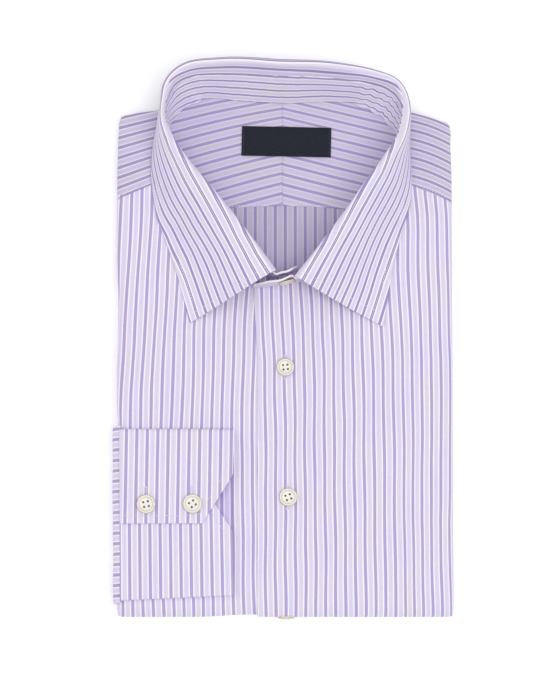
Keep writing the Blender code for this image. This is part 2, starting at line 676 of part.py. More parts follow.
def make_folded_layers(cloth):
    """The folded back, tail and sleeves as one solid: a top and a bottom grid joined by a layered rim."""
    shoulder = np.concatenate([np.array(RIGHT_SHOULDER)[2:, :2], np.array(LEFT_SHOULDER)[::-1, :2][1:-2]])
    x = np.array(CORE_X)
    end = np.interp(x, shoulder[:, 0], shoulder[:, 1]) - 1.0
    y = np.concatenate([np.tile(CORE_Y, (len(x), 1)), ((end + CORE_Y[-1]) / 2)[:, None], end[:, None]], axis=1)
    x = np.repeat(x[:, None], y.shape[1], axis=1)
    over_tail = CLOTH + GAP + 0.3 + (LAP_DEPTH + 0.2) * smooth((x + 100) / 40) * smooth((40 - x) / 20)
    low = np.where(y < TAIL_CLEAR_Y, over_tail, 0.0)
    full = top_height(x, y) - folds_at(x, y) - LAP_DEPTH - CLOTH - 2 * GAP
    basin = inner_height(x, y) - CLOTH - GAP - 0.4
    high = np.where((np.abs(x) < BASIN_X) & (y > BASIN_Y), basin, full)

    rim = [(i, 0) for i in range(len(x))]
    rim += [(len(x) - 1, j) for j in range(1, x.shape[1])]
    rim += [(i, x.shape[1] - 1) for i in range(len(x) - 2, -1, -1)]
    rim += [(0, j) for j in range(x.shape[1] - 2, 0, -1)]
    points, faces = [], []

    def add(point):
        points.append(point)
        return len(points) - 1

    def pulled(i, j, inset, flare=0.0):
        """A rim point drawn in by inset; flare pushes the sides and the shoulder edge out under the lips."""
        out_x = (i == len(x) - 1) - (i == 0)
        out_y = (j == x.shape[1] - 1) - (j == 0)
        flare = flare * float(smooth((y[i, j] + 165) / 40))
        return x[i, j] - out_x * (inset - flare), y[i, j] - out_y * (inset - flare * (out_y > 0))

    grids = []
    for level in (low, high):
        grid = np.array([[add((*pulled(i, j, CORE_UPPER_DEPTH), level[i, j])) for j in range(x.shape[1])]
                         for i in range(len(x))])
        grids.append(grid)
        for i in range(len(x) - 1):
            for j in range(x.shape[1] - 1):
                faces.append((grid[i, j], grid[i + 1, j], grid[i + 1, j + 1], grid[i, j + 1]))
    floor = np.where(y < TAIL_CLEAR_Y, 2 * TAIL_R + 0.1, 0.5)
    shelf = lip_height(y) - 0.5
    loops = [[grids[0][i, j] for i, j in rim]]
    for k in range(2 * CORE_RIDGES + 1):
        share = k / (2 * CORE_RIDGES)
        inset = CORE_RIDGE_DEPTH * (k % 2)
        level = np.maximum(low, floor) * (1 - share) + shelf * share
        loops.append([add((*pulled(i, j, inset, CORE_FLARE), level[i, j])) for i, j in rim])
    for k in range(CORE_UPPER_RIDGES):
        share = (k + 0.5) / CORE_UPPER_RIDGES
        level = shelf * (1 - share) + high * share
        loops.append([add((*pulled(i, j, CORE_UPPER_DEPTH * (k % 2)), level[i, j])) for i, j in rim])
    loops.append([grids[1][i, j] for i, j in rim])
    for lower, upper in zip(loops, loops[1:]):
        for k in range(len(rim)):
            m = (k + 1) % len(rim)
            faces.append((lower[k], lower[m], upper[m], upper[k]))
    add_mesh("folded_layers", np.array(points), faces, cloth)


def button_mesh():
    """A four-hole shirt button on Z = 0: a rim round a dished middle."""
    profile = ((0.0, 0.0), (0.74, 0.0), (0.96, 0.4), (1.0, 0.7), (0.88, 1.0), (0.76, 0.92), (0.66, 0.68), (0.0, 0.62))
    body = bmesh.new()
    points = [body.verts.new((r * BUTTON_R * MM, 0, z * BUTTON_THICK * MM)) for r, z in profile]
    edges = [body.edges.new(pair) for pair in zip(points, points[1:])]
    bmesh.ops.spin(body, geom=points + edges, axis=(0, 0, 1), cent=(0, 0, 0), steps=16, angle=math.tau)
    bmesh.ops.remove_doubles(body, verts=body.verts, dist=1e-6)
    bmesh.ops.recalc_face_normals(body, faces=body.faces)
    mesh = bpy.data.meshes.new("button")
    body.to_mesh(mesh)
    body.free()
    return mesh


def pierced_button(pearl):
    """The button with its four holes cut through."""
    cutter_mesh = bpy.data.meshes.new("button_holes")
    holes = bmesh.new()
    for i in range(4):
        a = math.radians(45 + 90 * i)
        made = bmesh.ops.create_cone(holes, cap_ends=True, segments=6, radius1=BUTTON_HOLE_R * MM,
                                     radius2=BUTTON_HOLE_R * MM, depth=3 * BUTTON_THICK * MM)
        bmesh.ops.translate(holes, verts=made["verts"], vec=(
            BUTTON_HOLE_SPREAD * math.cos(a) * MM, BUTTON_HOLE_SPREAD * math.sin(a) * MM, BUTTON_THICK / 2 * MM))
    holes.to_mesh(cutter_mesh)
    holes.free()
    cutter = bpy.data.objects.new("button_hole_cutter", cutter_mesh)
    cutter.hide_render = True
    blank = bpy.data.objects.new("button_blank", button_mesh())
    for made in (cutter, blank):
        bpy.context.scene.collection.objects.link(made)
    cut = blank.modifiers.new("holes", "BOOLEAN")
    cut.operation = "DIFFERENCE"
    cut.solver = "EXACT"
    cut.object = cutter
    graph = bpy.context.evaluated_depsgraph_get()
    pierced = bpy.data.meshes.new_from_object(blank.evaluated_get(graph))
    bpy.data.objects.remove(blank)
    bpy.data.objects.remove(cutter)
    pierced.materials.clear()
    pierced.materials.append(pearl)
    pierced.shade_smooth()
    pierced.set_sharp_from_angle(angle=math.radians(35))
    return pierced


def highest(x, y, height):
    """The highest point of the cloth under a button at (x, y)."""
    return max(float(height(np.float64(x + dx), np.float64(y + dy)))
               for dx in (-BUTTON_R, 0, BUTTON_R) for dy in (-BUTTON_R, 0, BUTTON_R))


def make_buttons(pearl):
    """Every button sits just off the cloth it closes, facing away from it."""
    mesh = pierced_button(pearl)
    on_cuff = CUFF_LEVELS["over_end"] + CUFF_CLOTH / 2
    places = {name: ((x, y, highest(x, y, top_height)), (0, 0, 1)) for name, (x, y) in BUTTONS.items()}
    for name, (x, y) in CUFF_BUTTONS.items():
        places[name] = ((x, y, highest(x, y, right_front_height) + on_cuff), (0, 0, 1))
    facing = (0, -math.sin(HEM_BUTTON_ARC), math.cos(HEM_BUTTON_ARC))
    places["button_hem_fold"] = ((HEM_BUTTON_X, FOLD_Y + FOLD_R * facing[1], FOLD_R + FOLD_R * facing[2]), facing)
    stand = stand_middle()
    row = min(range(len(stand) * 3 // 4, len(stand)), key=lambda k: abs(stand[k, 2, 0] - COLLAR_BUTTON_X))
    facing = -normals_of(stand)[row, 2]
    facing = facing if facing[1] < 0 else -facing
    facing[2] = COLLAR_BUTTON_TILT
    foot, top = stand[row, 0], stand[row, -1]
    places["button_collar"] = (foot + (top - foot) * COLLAR_BUTTON_SHARE + facing * (STAND_CLOTH / 2 + COLLAR_BUTTON_OFF),
                              facing)
    for name, (spot, facing) in places.items():
        facing = Vector(facing).normalized()
        button = bpy.data.objects.new(name, mesh)
        button.location = (Vector(spot) + facing * GAP) * MM
        button.rotation_euler = facing.to_track_quat("Z", "Y").to_euler()
        bpy.context.scene.collection.objects.link(button)


def centre_on_origin():
    """Puts the bottom centre of the whole shirt's bounding box at the origin."""
    bpy.context.view_layer.update()
    made = list(bpy.context.scene.objects)
    corners = np.array([made_one.matrix_world @ vertex.co for made_one in made
                        for vertex in made_one.data.vertices])
    low, high = corners.min(axis=0), corners.max(axis=0)
    shift = (-(low[0] + high[0]) / 2, -(low[1] + high[1]) / 2, -low[2])
    for made_one in made:
        made_one.location = [a + b for a, b in zip(made_one.location, shift)]


def main():
    for old in list(bpy.data.objects):
        bpy.data.objects.remove(old)
    cloth = material("striped_cotton", (0.72, 0.68, 0.84), 0.75)
    pearl = material("pearl_button", (0.88, 0.86, 0.78), 0.3)
    satin = material("label_satin", (0.02, 0.024, 0.032), 0.5)
    make_fronts(cloth)
    make_outer_yoke(cloth)
    make_back(cloth)
    make_inner_yoke(cloth)
    make_label(satin)
    make_stand(cloth)
    make_leaf(cloth)
    make_cuff(cloth)
    make_sleeve(cloth)
    make_folded_layers(cloth)
    make_buttons(pearl)
    centre_on_origin()


main()
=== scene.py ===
import math

import bpy
import numpy as np
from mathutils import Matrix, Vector


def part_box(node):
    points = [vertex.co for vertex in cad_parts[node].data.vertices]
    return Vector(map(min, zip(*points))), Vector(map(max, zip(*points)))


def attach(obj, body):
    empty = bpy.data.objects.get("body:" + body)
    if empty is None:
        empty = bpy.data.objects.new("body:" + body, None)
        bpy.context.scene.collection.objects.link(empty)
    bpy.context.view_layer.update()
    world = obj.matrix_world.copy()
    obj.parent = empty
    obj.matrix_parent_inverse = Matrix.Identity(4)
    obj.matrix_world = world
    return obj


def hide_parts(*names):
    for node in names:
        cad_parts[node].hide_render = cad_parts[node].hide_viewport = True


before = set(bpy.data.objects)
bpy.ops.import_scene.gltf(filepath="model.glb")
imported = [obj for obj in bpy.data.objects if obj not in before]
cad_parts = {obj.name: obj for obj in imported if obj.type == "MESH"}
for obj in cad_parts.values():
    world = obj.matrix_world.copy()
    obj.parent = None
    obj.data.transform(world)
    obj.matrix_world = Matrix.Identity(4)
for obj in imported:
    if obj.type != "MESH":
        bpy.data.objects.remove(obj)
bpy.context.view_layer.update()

# Lengths are millimetres on the folded shirt until a mesh is made. X is the wearer's left, Y runs from the
# hem fold to the collar and Z is up.
body = {
    "sideX": 110.5, "flatX": 104.5, "centreX": -2.0, "stack": 20.0, "crown": 1.0, "cloth": 0.6,
    "shoulderDrop": 4.2, "shoulderSlope": (40, 105), "neckDrop": 2.0, "neckSlope": (138, 22),    # start, length in Y
    "foldY": -172.0, "tailSideX": 110.0, "tailR": 2.0, "tailEndY": 62.0, "tailCurve": 26.0,
    "lipBody": 8.0, "lipShoulder": 5.0, "sideWrap": math.radians(165), "tailWrap": math.radians(140),
    "lapEdgeX": -18.5, "lapLean": 2.3, "lapDepth": 1.6, "lapRamp": (-60.0, 38.0), "underlapX": 8.0,
}
view = {"distance": 3.0, "elevation": math.radians(83), "aim": (-1.65, -1.0, 20.0), "fieldHeight": 448.8}
foldR = body["stack"] / 2
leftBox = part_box("front_left")
toFrame = np.array([leftBox[1].x * 1000 - body["sideX"], leftBox[0].y * 1000 - body["foldY"] + foldR, 0.0])
repeat = 6.5    # one stripe repeat of the cloth

# Soft ridges (+) and troughs (-) in the flat cloth: x0, y0, x1, y1, height, width
creases = np.array([
    (-112, 103, -88, 117, 1.3, 3.2), (-108, 98, -86, 106, -0.6, 3.0), (-100, 60, -104, -40, 0.5, 6.0),
    (-60, -5, -66, -50, 0.5, 7.0), (-30, 20, -34, -50, -0.5, 6.0), (24, 25, 30, -60, 0.5, 7.0),
    (58, 0, 64, -90, -0.5, 8.0), (92, 70, 96, -30, 0.6, 6.0), (84, 98, 108, 86, -0.7, 4.0),
    (40, -80, 44, -165, 0.5, 7.0), (78, -70, 80, -165, 0.4, 6.0),
])

# Collar sections from the right front, round the back, to the left front: where the stand meets the body
# (x, y), the crest of the roll (x, y, z), the leaf's free edge (x, y) and how far that edge hangs down.
collarSections = np.array([
    (-10.3, 41.3, -8.6, 42.0, 46.5, -63.0, 11.5, 0.0), (-27.5, 62.0, -25.0, 64.5, 47.5, -69.5, 36.0, 0.0),
    (-52.0, 92.5, -49.5, 95.2, 49.5, -79.0, 65.5, 0.0), (-66.5, 109.5, -64.5, 113.0, 51.0, -86.0, 87.0, 0.0),
    (-75.0, 121.5, -74.0, 126.0, 52.0, -89.0, 112.0, 0.0), (-79.0, 134.0, -80.0, 139.5, 52.5, -88.0, 129.0, 0.0),
    (-77.8, 144.5, -80.8, 149.0, 52.5, -85.5, 143.0, 0.0), (-73.4, 151.0, -79.6, 158.0, 52.0, -84.0, 155.0, 0.6),
    (-67.3, 157.0, -77.5, 166.5, 51.5, -81.5, 168.5, 5.5), (-59.5, 161.5, -72.5, 173.5, 51.0, -76.0, 177.0, 6.5),
    (-49.0, 163.4, -63.0, 179.2, 50.5, -65.0, 183.5, 7.0), (-35.0, 161.9, -43.0, 181.6, 50.3, -44.0, 186.3, 7.0),
    (-2.0, 159.8, -3.0, 180.5, 50.0, -3.0, 185.2, 7.0), (30.0, 160.9, 34.0, 178.2, 50.0, 35.0, 182.8, 7.0),
    (48.0, 159.4, 57.0, 173.7, 50.3, 59.0, 178.0, 7.0), (59.5, 154.6, 71.5, 168.0, 50.8, 74.5, 171.0, 6.0),
    (67.5, 148.0, 77.6, 159.0, 51.2, 80.8, 160.0, 3.0), (73.2, 141.2, 79.4, 147.5, 51.6, 82.6, 147.0, 0.0),
    (75.2, 132.5, 77.0, 134.5, 51.8, 82.6, 132.0, 0.0), (68.8, 115.0, 66.6, 116.8, 51.0, 83.4, 109.0, 0.0),
    (56.6, 98.0, 54.4, 100.0, 49.8, 82.4, 91.5, 0.0), (43.0, 78.6, 40.6, 80.4, 48.5, 76.5, 70.5, 0.0),
    (25.8, 55.2, 23.2, 57.0, 47.3, 70.0, 42.0, 0.0), (9.6, 39.4, 8.3, 37.9, 46.3, 64.5, 8.8, 0.0),
])


def smooth(t):
    t = np.clip(t, 0.0, 1.0)
    return t * t * (3 - 2 * t)


# A smooth rise from 0 to 1 after a start, and a smooth fall from 1 to 0 before an end.
def rise(x, start, length):
    return smooth((x - start) / length)


def fade(x, end, length):
    return smooth((end - x) / length)


# A groove or a ridge along a seam: a bell of the distance from it.
def bell(distance, width):
    return np.exp(-(distance / width) ** 2)


# 1 well inside an edge and a small value at it, along a quarter circle of the given radius.
def rounded(distance, radius, least=0.12):
    inside = np.clip(distance / radius, 0, 1)
    return least + (1 - least) * np.sqrt(np.maximum(1 - (1 - inside) ** 2, 0))


# A cubic from the first value to the last, with the slope at each.
def cubic(t, first, last, leaving, arriving):
    return ((2 * t**3 - 3 * t**2 + 1) * first + (t**3 - 2 * t**2 + t) * leaving
            + (3 * t**2 - 2 * t**3) * last + (t**3 - t**2) * arriving)


# The length run at each point of a line, and along the rows or columns of a grid.
def runOf(line):
    return np.append(0, np.cumsum(np.linalg.norm(np.diff(line, axis=0), axis=1)))


def lengthsAlong(grid, axis):
    step = np.linalg.norm(np.diff(grid, axis=axis), axis=2)
    return np.pad(np.cumsum(step, axis=axis), [(1 - axis, 0), (axis, 0)])


def columnsAt(at, places, table):
    return np.stack([np.interp(at, places, column) for column in table.T], axis=-1)


# A smooth curve through the points: cubic pieces whose slopes come from the neighbouring points.
def through(points, at):
    knots = runOf(points[:, :2])
    slopes = np.gradient(points, knots, axis=0)
    where = at * knots[-1]
    i = np.clip(np.searchsorted(knots, where, side="right") - 1, 0, len(knots) - 2)
    span = (knots[i + 1] - knots[i])[:, None]
    return cubic((where - knots[i])[:, None] / span, points[i], points[i + 1], span * slopes[i], span * slopes[i + 1])


# Distances from 0 to length, close together at the ends and wherever a seam presses the cloth.
def steps(length, coarse, near=(), start=True, end=True):
    fine, beside, least = np.array([0, 0.06, 0.16, 0.3, 0.5, 0.8, 1.3]), np.array([0.15, 0.4, 0.7, 1.1]), 0.045
    parts = [np.linspace(0, length, max(int(length / coarse), 2) + 1)]
    parts += [fine] * start + [length - fine] * end
    parts += [spot + side * beside for spot in near for side in (-1, 1)]
    line = np.sort(np.concatenate(parts))
    line = line[(line >= 0) & (line <= length)]
    line = line[np.append(True, np.diff(line) > least)]
    return np.append(line[line < length - least], length)


def normalsOf(grid):
    normal = np.cross(np.gradient(grid, axis=0), np.gradient(grid, axis=1))
    return normal / np.maximum(np.linalg.norm(normal, axis=2), 1e-9)[..., None]


def addObject(name, data):
    made = bpy.data.objects.new(name, data)
    bpy.context.scene.collection.objects.link(made)
    return made


# Quads that come with pattern corners are turned to face outwards. Marks are values for each point.
def addMesh(name, points, faces, finish, corners=None, sharpAngle=None, marks=()):
    mesh = bpy.data.meshes.new(name)
    if corners is not None:
        a, b, c, d = np.moveaxis(points[faces], 1, 0)
        if np.einsum("ij,ij->", a, np.cross(b, c) + np.cross(c, d)) < 0:
            faces, corners = faces[:, ::-1], corners[:, ::-1]
        faces = faces.tolist()
    mesh.from_pydata(((points + toFrame) * 0.001).tolist(), [], faces)
    if corners is not None:
        corners = np.ascontiguousarray(corners, dtype=np.float32).ravel()
        mesh.uv_layers.new(name="clothUV").data.foreach_set("uv", corners)
    for mark, values in dict(marks).items():
        mesh.attributes.new(mark, "FLOAT", "POINT").data.foreach_set("value", values.astype(np.float32))
    mesh.materials.append(finish)
    mesh.shade_smooth()
    if sharpAngle:
        mesh.set_sharp_from_angle(angle=math.radians(sharpAngle))
    mesh.update()
    return addObject(name, mesh)


def cornersOf(uv):
    return np.stack([uv[:-1, :-1], uv[:-1, 1:], uv[1:, 1:], uv[1:, :-1]], axis=2).reshape(-1, 4, 2)


# A closed wall between two grids of the same size. A ring joins its last row to its first, and its uv grid
# has one row more, so that the pattern runs on across the join. Beyond is a second uv grid with the mask of
# the points past which it holds.
def shell(name, face, back, uv, finish, ring=False, beyond=None, marks=()):
    rows, columns = face.shape[:2]
    behind = rows * columns
    i, j = np.arange(rows if ring else rows - 1), np.arange(columns - 1)
    a, b = i[:, None] * columns + j, ((i[:, None] + 1) % rows) * columns + j
    quads = [np.stack([a, a + 1, b + 1, b], axis=2).reshape(-1, 4),
             np.stack([b, b + 1, a + 1, a], axis=2).reshape(-1, 4) + behind]
    faceUv = cornersOf(uv)
    if beyond is not None:
        faceUv = np.where(beyond[1][:-1, :-1].reshape(-1, 1, 1), cornersOf(beyond[0]), faceUv)
        uv = np.where(beyond[1][..., None], beyond[0], uv)
    corners = [faceUv, faceUv[:, [3, 2, 1, 0]]]
    rims = [(i * columns + k, ((i + 1) % rows) * columns + k, uv[:, k], k > 0) for k in (0, columns - 1)]
    if not ring:
        rims += [(k * columns + j, k * columns + j + 1, uv[k], k == 0) for k in (0, rows - 1)]
    for a, b, line, turned in rims:
        wall, wallUv = np.stack([a, b, behind + b, behind + a], axis=1), np.repeat(line[:-1, None], 4, axis=1)
        wallUv[:, 1:3] = line[1:, None]
        quads.append(wall[:, ::-1] if turned else wall)
        corners.append(wallUv[:, ::-1] if turned else wallUv)
    points = np.concatenate([face.reshape(-1, 3), back.reshape(-1, 3)])
    marks = {mark: np.tile(values.ravel(), 2) for mark, values in dict(marks).items()}
    return addMesh(name, points, np.concatenate(quads), finish, np.concatenate(corners), 50, marks)


# The grid runs through the middle of the wall, whose thickness is an array over the grid.
def sheetRound(name, middle, thickness, uv, finish, beyond=None, marks=()):
    push = normalsOf(middle) * thickness[..., None] / 2
    return shell(name, middle + push, middle - push, uv, finish, beyond=beyond, marks=marks)


# Rows of points, each row a closed ring, and the same with a cap on both ends.
def tubeQuads(rows, columns):
    i, j = np.arange(rows - 1)[:, None] * columns, np.arange(columns)
    k = (j + 1) % columns
    return np.stack([i + j, i + k, i + columns + k, i + columns + j], axis=2).reshape(-1, 4)


def cappedTube(rows, columns, start=0):
    caps = np.array([np.arange(columns)[::-1], (rows - 1) * columns + np.arange(columns)]) + start
    return (tubeQuads(rows, columns) + start).tolist() + caps.tolist()


def dress(piece, *nodes, slot="striped_cotton"):
    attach(piece, "root")
    if nodes:
        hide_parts(*nodes)
    return piece


stitch = {
    "pitch": 2.1, "share": 0.8, "width": 0.42, "height": 0.3,
    # along one stitch: place, lift and size
    "bead": np.array([(-0.5, -0.16, 0.35), (-0.34, 0.02, 0.9), (0, 0.1, 1.0), (0.34, 0.02, 0.9), (0.5, -0.16, 0.35)]),
}


# Stitches along a line that lies on the cloth: each is a thin six-sided bead whose ends dip into the cloth.
def stitchLine(line, normals=(0, 0, 1.0), pitch=stitch["pitch"], share=stitch["share"], width=stitch["width"],
               height=stitch["height"]):
    run = runOf(line)
    count = max(int(run[-1] / pitch), 1)
    place, lift, size = stitch["bead"].T
    spots = (np.arange(count)[:, None] + 0.5 + place * share) * run[-1] / count
    middle = columnsAt(spots, run, line)
    up = columnsAt(spots, run, np.broadcast_to(normals, line.shape))
    up /= np.linalg.norm(up, axis=2)[..., None]
    across = np.cross(np.gradient(middle, axis=1), up)
    across /= np.maximum(np.linalg.norm(across, axis=2), 1e-9)[..., None]
    turn = np.arange(6) * math.tau / 6
    wide = size[:, None] * np.cos(turn) * width / 2
    high = size[:, None] * np.sin(turn) * height / 2 + lift[:, None]
    beads = middle[:, :, None] + across[:, :, None] * wide[..., None] + up[:, :, None] * high[..., None]
    return beads.reshape(count, 30, 3)


# Joins many stitches into one piece.
def sewn(name, beads, finish, slot="striped_cotton"):
    points = np.concatenate(beads).reshape(-1, 3)
    caps = [(0, 3, 2, 1), (0, 5, 4, 3), (24, 25, 26, 27), (24, 27, 28, 29)]
    one = np.concatenate([tubeQuads(5, 6), caps])
    quads = (np.arange(0, len(points), 30)[:, None, None] + one).reshape(-1, 4)
    return dress(addMesh(name, points, quads, finish, points[quads][..., :2] / repeat), slot=slot)


def newGroup(name, ins, outs):
    group = bpy.data.node_groups.new(name, "ShaderNodeTree")
    for label, kind, value in ins:
        made = group.interface.new_socket(label, in_out="INPUT", socket_type=kind)
        if value is not None:
            made.default_value = value
    for label, kind in outs:
        group.interface.new_socket(label, in_out="OUTPUT", socket_type=kind)
    return group, group.nodes.new("NodeGroupInput").outputs, group.nodes.new("NodeGroupOutput").inputs


def addNode(tree, kind, settings=(), inputs=()):
    made = tree.nodes.new(kind)
    for key, value in dict(settings).items():
        setattr(made, key, value)
    for key, value in dict(inputs).items():
        if isinstance(value, bpy.types.NodeSocket):
            tree.links.new(value, made.inputs[key])
        else:
            made.inputs[key].default_value = value
    return made


def mathNode(tree, operation, first, second=0.5, third=0.0):
    return addNode(tree, "ShaderNodeMath", {"operation": operation}, {0: first, 1: second, 2: third}).outputs[0]


def scaled(tree, vector, factors):
    return addNode(tree, "ShaderNodeVectorMath", {"operation": "MULTIPLY"}, {0: vector, 1: factors}).outputs[0]


def noise(tree, place, scale, detail):
    return addNode(tree, "ShaderNodeTexNoise", inputs={"Vector": place, "Scale": scale, "Detail": detail}).outputs[0]


def mixed(tree, first, second, share=1.0, blend="MULTIPLY"):
    return addNode(tree, "ShaderNodeMix", {"data_type": "RGBA", "blend_type": blend},
                   {0: share, 6: first, 7: second}).outputs[2]


def grey(tree, tone):
    return addNode(tree, "ShaderNodeCombineColor", inputs={0: tone, 1: tone, 2: tone}).outputs[0]


def linear(colour):
    values = np.array(colour) / 255
    return (*np.where(values <= 0.04045, values / 12.92, ((values + 0.055) / 1.055) ** 2.4), 1.0)


def rampNode(tree, position, table):
    ramp = addNode(tree, "ShaderNodeValToRGB", inputs={0: position})
    stops = ramp.color_ramp.elements
    stops[0].position, stops[1].position = table[0][0], table[-1][0]
    for place, _ in table[1:-1]:
        stops.new(place)
    for stop, (_, colour) in zip(stops, table):
        stop.color = linear(colour)
    return ramp.outputs[0]


# A material from its name, with the pattern that a function draws in its tree: a colour and a height.
def newMaterial(name, pattern, bumpStrength, bumpDepth, **sockets):
    made = bpy.data.materials.new(name)
    made.use_nodes = True
    tree = made.node_tree
    shader = tree.nodes["Principled BSDF"].inputs
    colour, height = pattern(tree)
    bump = addNode(tree, "ShaderNodeBump", inputs={"Height": height, "Strength": bumpStrength, "Distance": bumpDepth})
    tree.links.new(colour, shader["Base Color"])
    tree.links.new(bump.outputs[0], shader["Normal"])
    for label, value in sockets.items():
        shader[label.replace("_", " ")].default_value = value
    return made


cloth = {
    # colours of a bar, its whites and the band between, outside and inside the shirt; the dimmer inside whites are
    # painted shade
    "outside": {"bar": (186, 173, 215), "barLine": (178, 165, 213), "white": (249, 246, 255),
                "band": (226, 219, 241), "bandLine": (219, 211, 237)},
    "inside": {"bar": (186, 175, 219), "barLine": (180, 168, 215), "white": (238, 233, 249),
               "band": (225, 218, 240), "bandLine": (219, 212, 237)},
    "collar": {"bar": (172, 158, 206), "barLine": (160, 146, 199), "white": (250, 248, 255),
               "band": (226, 219, 240), "bandLine": (218, 210, 236)},
    "stand": {"bar": (176, 163, 212), "barLine": (166, 152, 205), "white": (252, 250, 255),
              "band": (236, 230, 248), "bandLine": (228, 221, 244), "darkEnd": 0.125},
    # painted shade: the thin dark lines of a bar where the cloth turns away, and the muted colour mixed in the cuff's
    # notch
    "crispLine": (96, 86, 132), "crispMiddle": (208, 199, 229), "paintedShadeColour": (234, 229, 246),
    "darkEnd": 0.154, "whiteEnd": 0.285, "soft": 0.012, "yarnsPerRepeat": 22.0, "waver": 0.03, "yarnTone": 0.13,
    # slow changes of hue along the cloth
    "hues": [(0.3, (250, 250, 255)), (0.5, (255, 253, 254)), (0.7, (255, 254, 247))],
    "roughness": 0.82, "sheen": 0.12, "weaveDepth": 0.00005,
    # how much light a piece keeps where the collar and the layers over it shade it
    "yokeShade": (0.82, 0.82, 0.84), "insideShade": (0.85, 0.85, 0.86), "backShade": (0.71, 0.71, 0.72),
}


# The bar stripe by its first coordinate: a triangle wave that is 0 in the middle of each dark bar and 1 half
# way to the next one, coloured by a ramp. A second ramp, mixed in by Crisp, draws a bar as two thin dark lines,
# painted shade as it looks where the cloth turns away. The fourth input mixes in a muted colour as painted shade,
# and Tint darkens a whole piece as painted shade. Yarns differ a little from each other.
def barStripe(name, colours):
    group, ins, outs = newGroup(name, [("UV", "NodeSocketVector", None), ("Crisp", "NodeSocketFloat", 0.0),
                                       ("Tint", "NodeSocketColor", (1, 1, 1, 1)), ("Dull", "NodeSocketFloat", 0.0)],
                                [("Color", "NodeSocketColor"), ("Height", "NodeSocketFloat")])
    across, along, _ = addNode(group, "ShaderNodeSeparateXYZ", inputs={0: ins["UV"]}).outputs
    yarns, bar, white, band = cloth["yarnsPerRepeat"], colours["bar"], colours["white"], colours["band"]

    def noiseAt(u, v, detail):
        return noise(group, scaled(group, ins["UV"], (u, v, 1.0)), 1.0, detail)

    drift = mathNode(group, "SUBTRACT", noiseAt(3.0, 0.35, 1.0), 0.5)
    bent = mathNode(group, "MULTIPLY_ADD", drift, cloth["waver"], across)
    wave = mathNode(group, "MULTIPLY", mathNode(group, "PINGPONG", bent, 0.5), 2.0)
    d, w, s = colours.get("darkEnd", cloth["darkEnd"]) * 2, cloth["whiteEnd"] * 2, cloth["soft"] * 2
    plain = rampNode(group, wave, [
        (0.0, colours["barLine"]), (d * 0.3, bar), (d * 0.62, colours["barLine"]), (d - s, bar), (d + s, white),
        (w - s, white), (w + s, band), (0.86, band), (1.0, colours["bandLine"])])
    lined = rampNode(group, wave, [
        (0.0, cloth["crispMiddle"]), (d * 0.34, cloth["crispMiddle"]), (d * 0.5, cloth["crispLine"]),
        (d * 0.74, cloth["crispLine"]), (d * 0.95, white), (w, white), (w + s, band), (1.0, band)])
    tone = mathNode(group, "MULTIPLY_ADD", mathNode(group, "ADD", noiseAt(yarns, 1.6, 2.0), noiseAt(1.6, yarns, 2.0)),
                    cloth["yarnTone"], 1 - cloth["yarnTone"])
    colour = mixed(group, mixed(group, plain, lined, ins["Crisp"], "MIX"), grey(group, tone))
    colour = mixed(group, colour, rampNode(group, noiseAt(0.5, 0.16, 2.0), cloth["hues"]))
    colour = mixed(group, colour, ins["Tint"])
    warp, woof = (mathNode(group, "SINE", mathNode(group, "MULTIPLY", way, yarns * math.tau))
                  for way in (across, along))
    height = mathNode(group, "MULTIPLY_ADD", mathNode(group, "MULTIPLY", warp, woof), 0.5, 0.5)
    group.links.new(mixed(group, colour, linear(cloth["paintedShadeColour"]), ins["Dull"]), outs["Color"])
    group.links.new(height, outs["Height"])
    return group


def clothMaterial(name, stripes, tint=(1.0, 1.0, 1.0)):
    def pattern(tree):
        uv = addNode(tree, "ShaderNodeUVMap", {"uv_map": "clothUV"}).outputs[0]
        # marks of painted shade at each point: thin dark bar lines and the muted notch
        crisp, dull = (addNode(tree, "ShaderNodeAttribute", {"attribute_name": mark}).outputs["Fac"]
                       for mark in ("crisp", "dull"))
        inputs = {"UV": uv, "Crisp": crisp, "Dull": dull, "Tint": (*tint, 1.0)}
        return addNode(tree, "ShaderNodeGroup", {"node_tree": stripes}, inputs).outputs
    return newMaterial(name, pattern, 0.35, cloth["weaveDepth"], Roughness=cloth["roughness"],
                       Sheen_Weight=cloth["sheen"], Specular_IOR_Level=0.25)


# One colour in soft clouds over a fine grain. A rim colour is painted in patches where the rim mark is set; on the
# buttons that is partly the edge's own brownish tone and partly painted shade.
def plainMaterial(name, colour, variation, scale, rim=None, bumpScale=900.0, bumpDepth=0.00003, **sockets):
    def pattern(tree):
        place = addNode(tree, "ShaderNodeTexCoord").outputs["Object"]
        clouds = noise(tree, place, scale, 3.0)
        base = linear(colour)
        if rim:
            edge = addNode(tree, "ShaderNodeAttribute", {"attribute_name": "rim"}).outputs["Fac"]
            patches = mathNode(tree, "MULTIPLY", edge, mathNode(tree, "MULTIPLY_ADD", clouds, 1.6, 0.1))
            base = mixed(tree, base, linear(rim), patches, "MIX")
        tone = mathNode(tree, "MULTIPLY_ADD", clouds, variation, 1 - variation / 2)
        return mixed(tree, base, grey(tree, tone)), noise(tree, place, bumpScale, 2.0)
    return newMaterial(name, pattern, 0.5, bumpDepth, **sockets)


# Satin: a dark ground with long floats and fine ribs across it.
def satinPattern(tree):
    uv = addNode(tree, "ShaderNodeUVMap", {"uv_map": "clothUV"}).outputs[0]
    along = addNode(tree, "ShaderNodeSeparateXYZ", inputs={0: uv}).outputs[1]
    floats = noise(tree, scaled(tree, uv, (2.0, 30.0, 1.0)), 1.0, 2.0)
    ribs = mathNode(tree, "SINE", mathNode(tree, "MULTIPLY", along, 95.0))
    return rampNode(tree, floats, [(0.3, (28, 31, 40)), (0.75, (42, 46, 56))]), ribs


